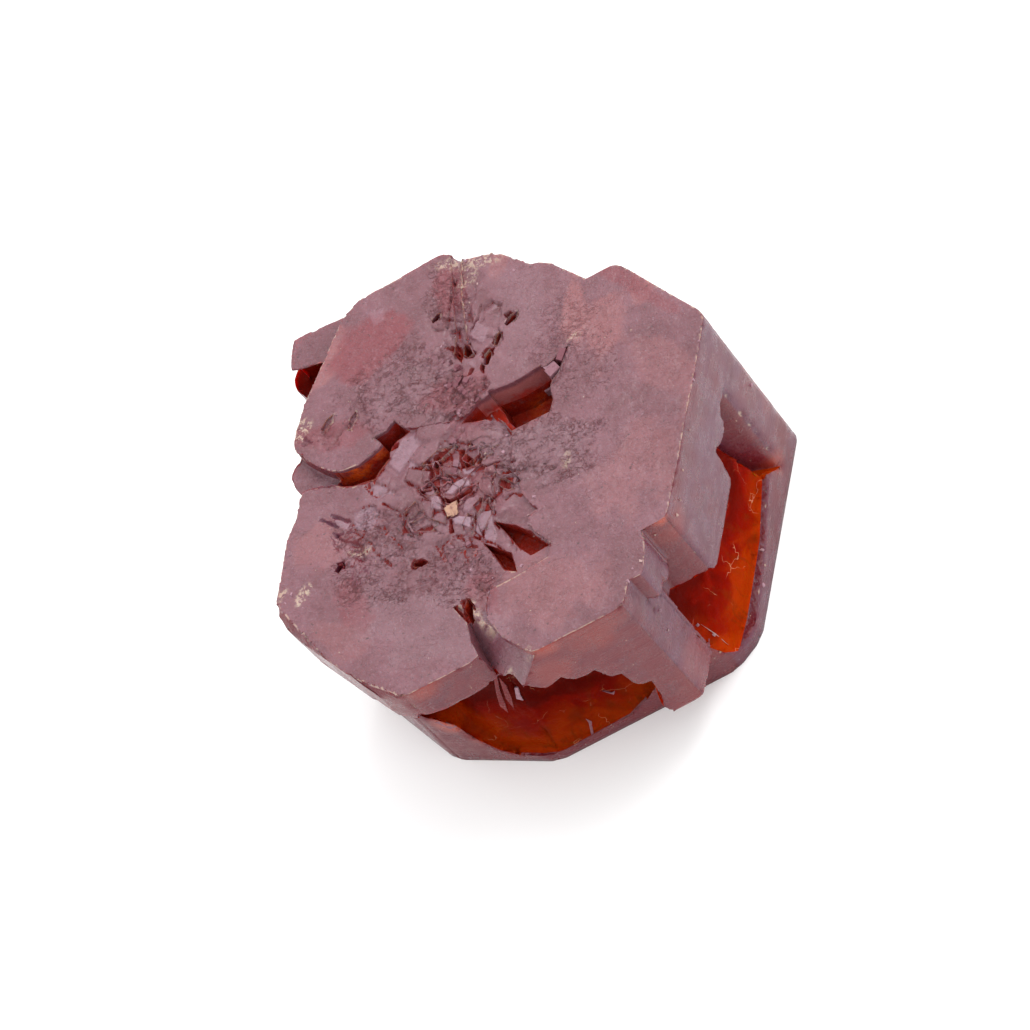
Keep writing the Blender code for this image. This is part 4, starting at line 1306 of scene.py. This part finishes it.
bits, pale = bmesh.new(), []
for count, middle, reach, sizes in BLOCK_FIELDS:
    for _ in range(count):
        x, y = (m + r * dice.gauss(0.0, 0.6) for m, r in zip(middle, reach))
        size = dice.uniform(*sizes)
        seat = from_above(x, y) - Vector((0.0, 0.0, 0.12 * size))
        seat.z = min(seat.z, TOP_LIMIT - dice.uniform(0.3, 0.5) * size)
        shape = (size, size * dice.uniform(0.5, 0.9), size * dice.uniform(0.5, 0.8))
        made = shaken_box(bits, seat, shape, any_turn(35.0), BLOCK_SHAKE)
        pale += [dice.uniform(0.0, 0.4)] * len(made)
blocks_piece = loose_piece("broken_blocks", bits, pale)

bits, pale = bmesh.new(), []
for x, y in GRAIN_SPOTS:
    size = dice.uniform(0.08, 0.20)
    shape = (size, size * 0.7, size * 0.5)
    made = shaken_box(bits, from_above(x, y), shape, any_turn(60.0), GRAIN_SHAKE)
    pale += [dice.uniform(0.7, 1.0)] * len(made)
for spot in EDGE_GRAINS:
    size = dice.uniform(0.08, 0.20)
    seat = tree.find_nearest(Vector(spot))[0]
    made = shaken_box(bits, seat, (size, size * 0.7, size), any_turn(60.0), GRAIN_SHAKE)
    pale += [dice.uniform(0.7, 1.0)] * len(made)
(x, y), size = TAN_GRAIN
seat = from_above(x, y)
seat.z = min(seat.z, TOP_LIMIT - 0.45 * size)
for _ in range(3):
    made = shaken_box(bits, seat, (size, size, size), any_turn(60.0), BLOCK_SHAKE)
    pale += [1.4] * len(made)
grains_piece = loose_piece("pale_grains", bits, pale)

bits, pale = bmesh.new(), []
for spot, heading, shape in PLATES:
    seat = tree.find_nearest(Vector(spot))[0]
    turn = Matrix.Rotation(math.radians(heading - 90.0), 3, "Z")
    made = shaken_box(bits, seat, shape, turn, BLOCK_SHAKE)
    pale += [0.7] * len(made)
for (x, y), heading, shape, paleness in PLUGS:
    turn = Matrix.Rotation(math.radians(heading), 3, "Z")
    seat = Vector((x, y, TOP_LIMIT - 0.5 * shape[Z]))
    made = shaken_box(bits, seat, shape, turn, PLUG_SHAKE)
    pale += [paleness] * len(made)
for paleness, outline in CHIPS:
    pale += [paleness] * len(thin_chip(bits, outline, CHIP_THICKNESS))
splinter_piece = loose_piece("splinters", bits, pale)
loose_pieces = (blocks_piece, grains_piece, splinter_piece)
print("loose bits:", [len(piece.data.polygons) for piece in loose_pieces], "triangles")

# %% [markdown]
# ## The finish of the loose bits
#
# One material serves nearly all. A layer on their points says how pale each one is, from mauve
# like the skin, through lilac, to the beige of the crust. The two dark blades in the front hollow
# have a value below zero, and take the fresh red instead.

# %% Loose material
BIT_MAUVE = colour(0.150, 0.045, 0.060)
BIT_LILAC = colour(0.330, 0.190, 0.230)
BIT_BEIGE = colour(0.430, 0.310, 0.240)
BIT_TAN = colour(0.420, 0.240, 0.170)

loose = Finish("loose_bits")
loose.body = loose.tint(loose.remap("pale", 0.0, 0.8), BIT_MAUVE, BIT_LILAC)
loose.lay(BIT_BEIGE, loose.remap("pale", 0.8, 1.0))
loose.lay(BIT_TAN, loose.remap("pale", 1.1, 1.4))
loose.lay(SKIN_DEEP, loose.mottle(0.15, 4.0, 0.45, 0.7), 0.6)
loose.shine(
    Roughness=loose.remap("pale", 0.0, 1.0, 0.45, 0.60), IOR=1.33,
    Normal=loose.bump(loose.mottle(0.1, 4.0), 0.00001),
)
for piece in loose_pieces:
    piece.data.materials.append(loose.material)
splinter_piece.data.materials.append(fresh.material)
for polygon in splinter_piece.data.polygons:
    if pale[polygon.vertices[0]] < 0.0:
        polygon.material_index = 1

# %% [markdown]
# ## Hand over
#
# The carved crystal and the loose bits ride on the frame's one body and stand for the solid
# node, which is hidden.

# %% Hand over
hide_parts(NODE)
for piece in (crystal, *loose_pieces):
    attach(piece, "root")
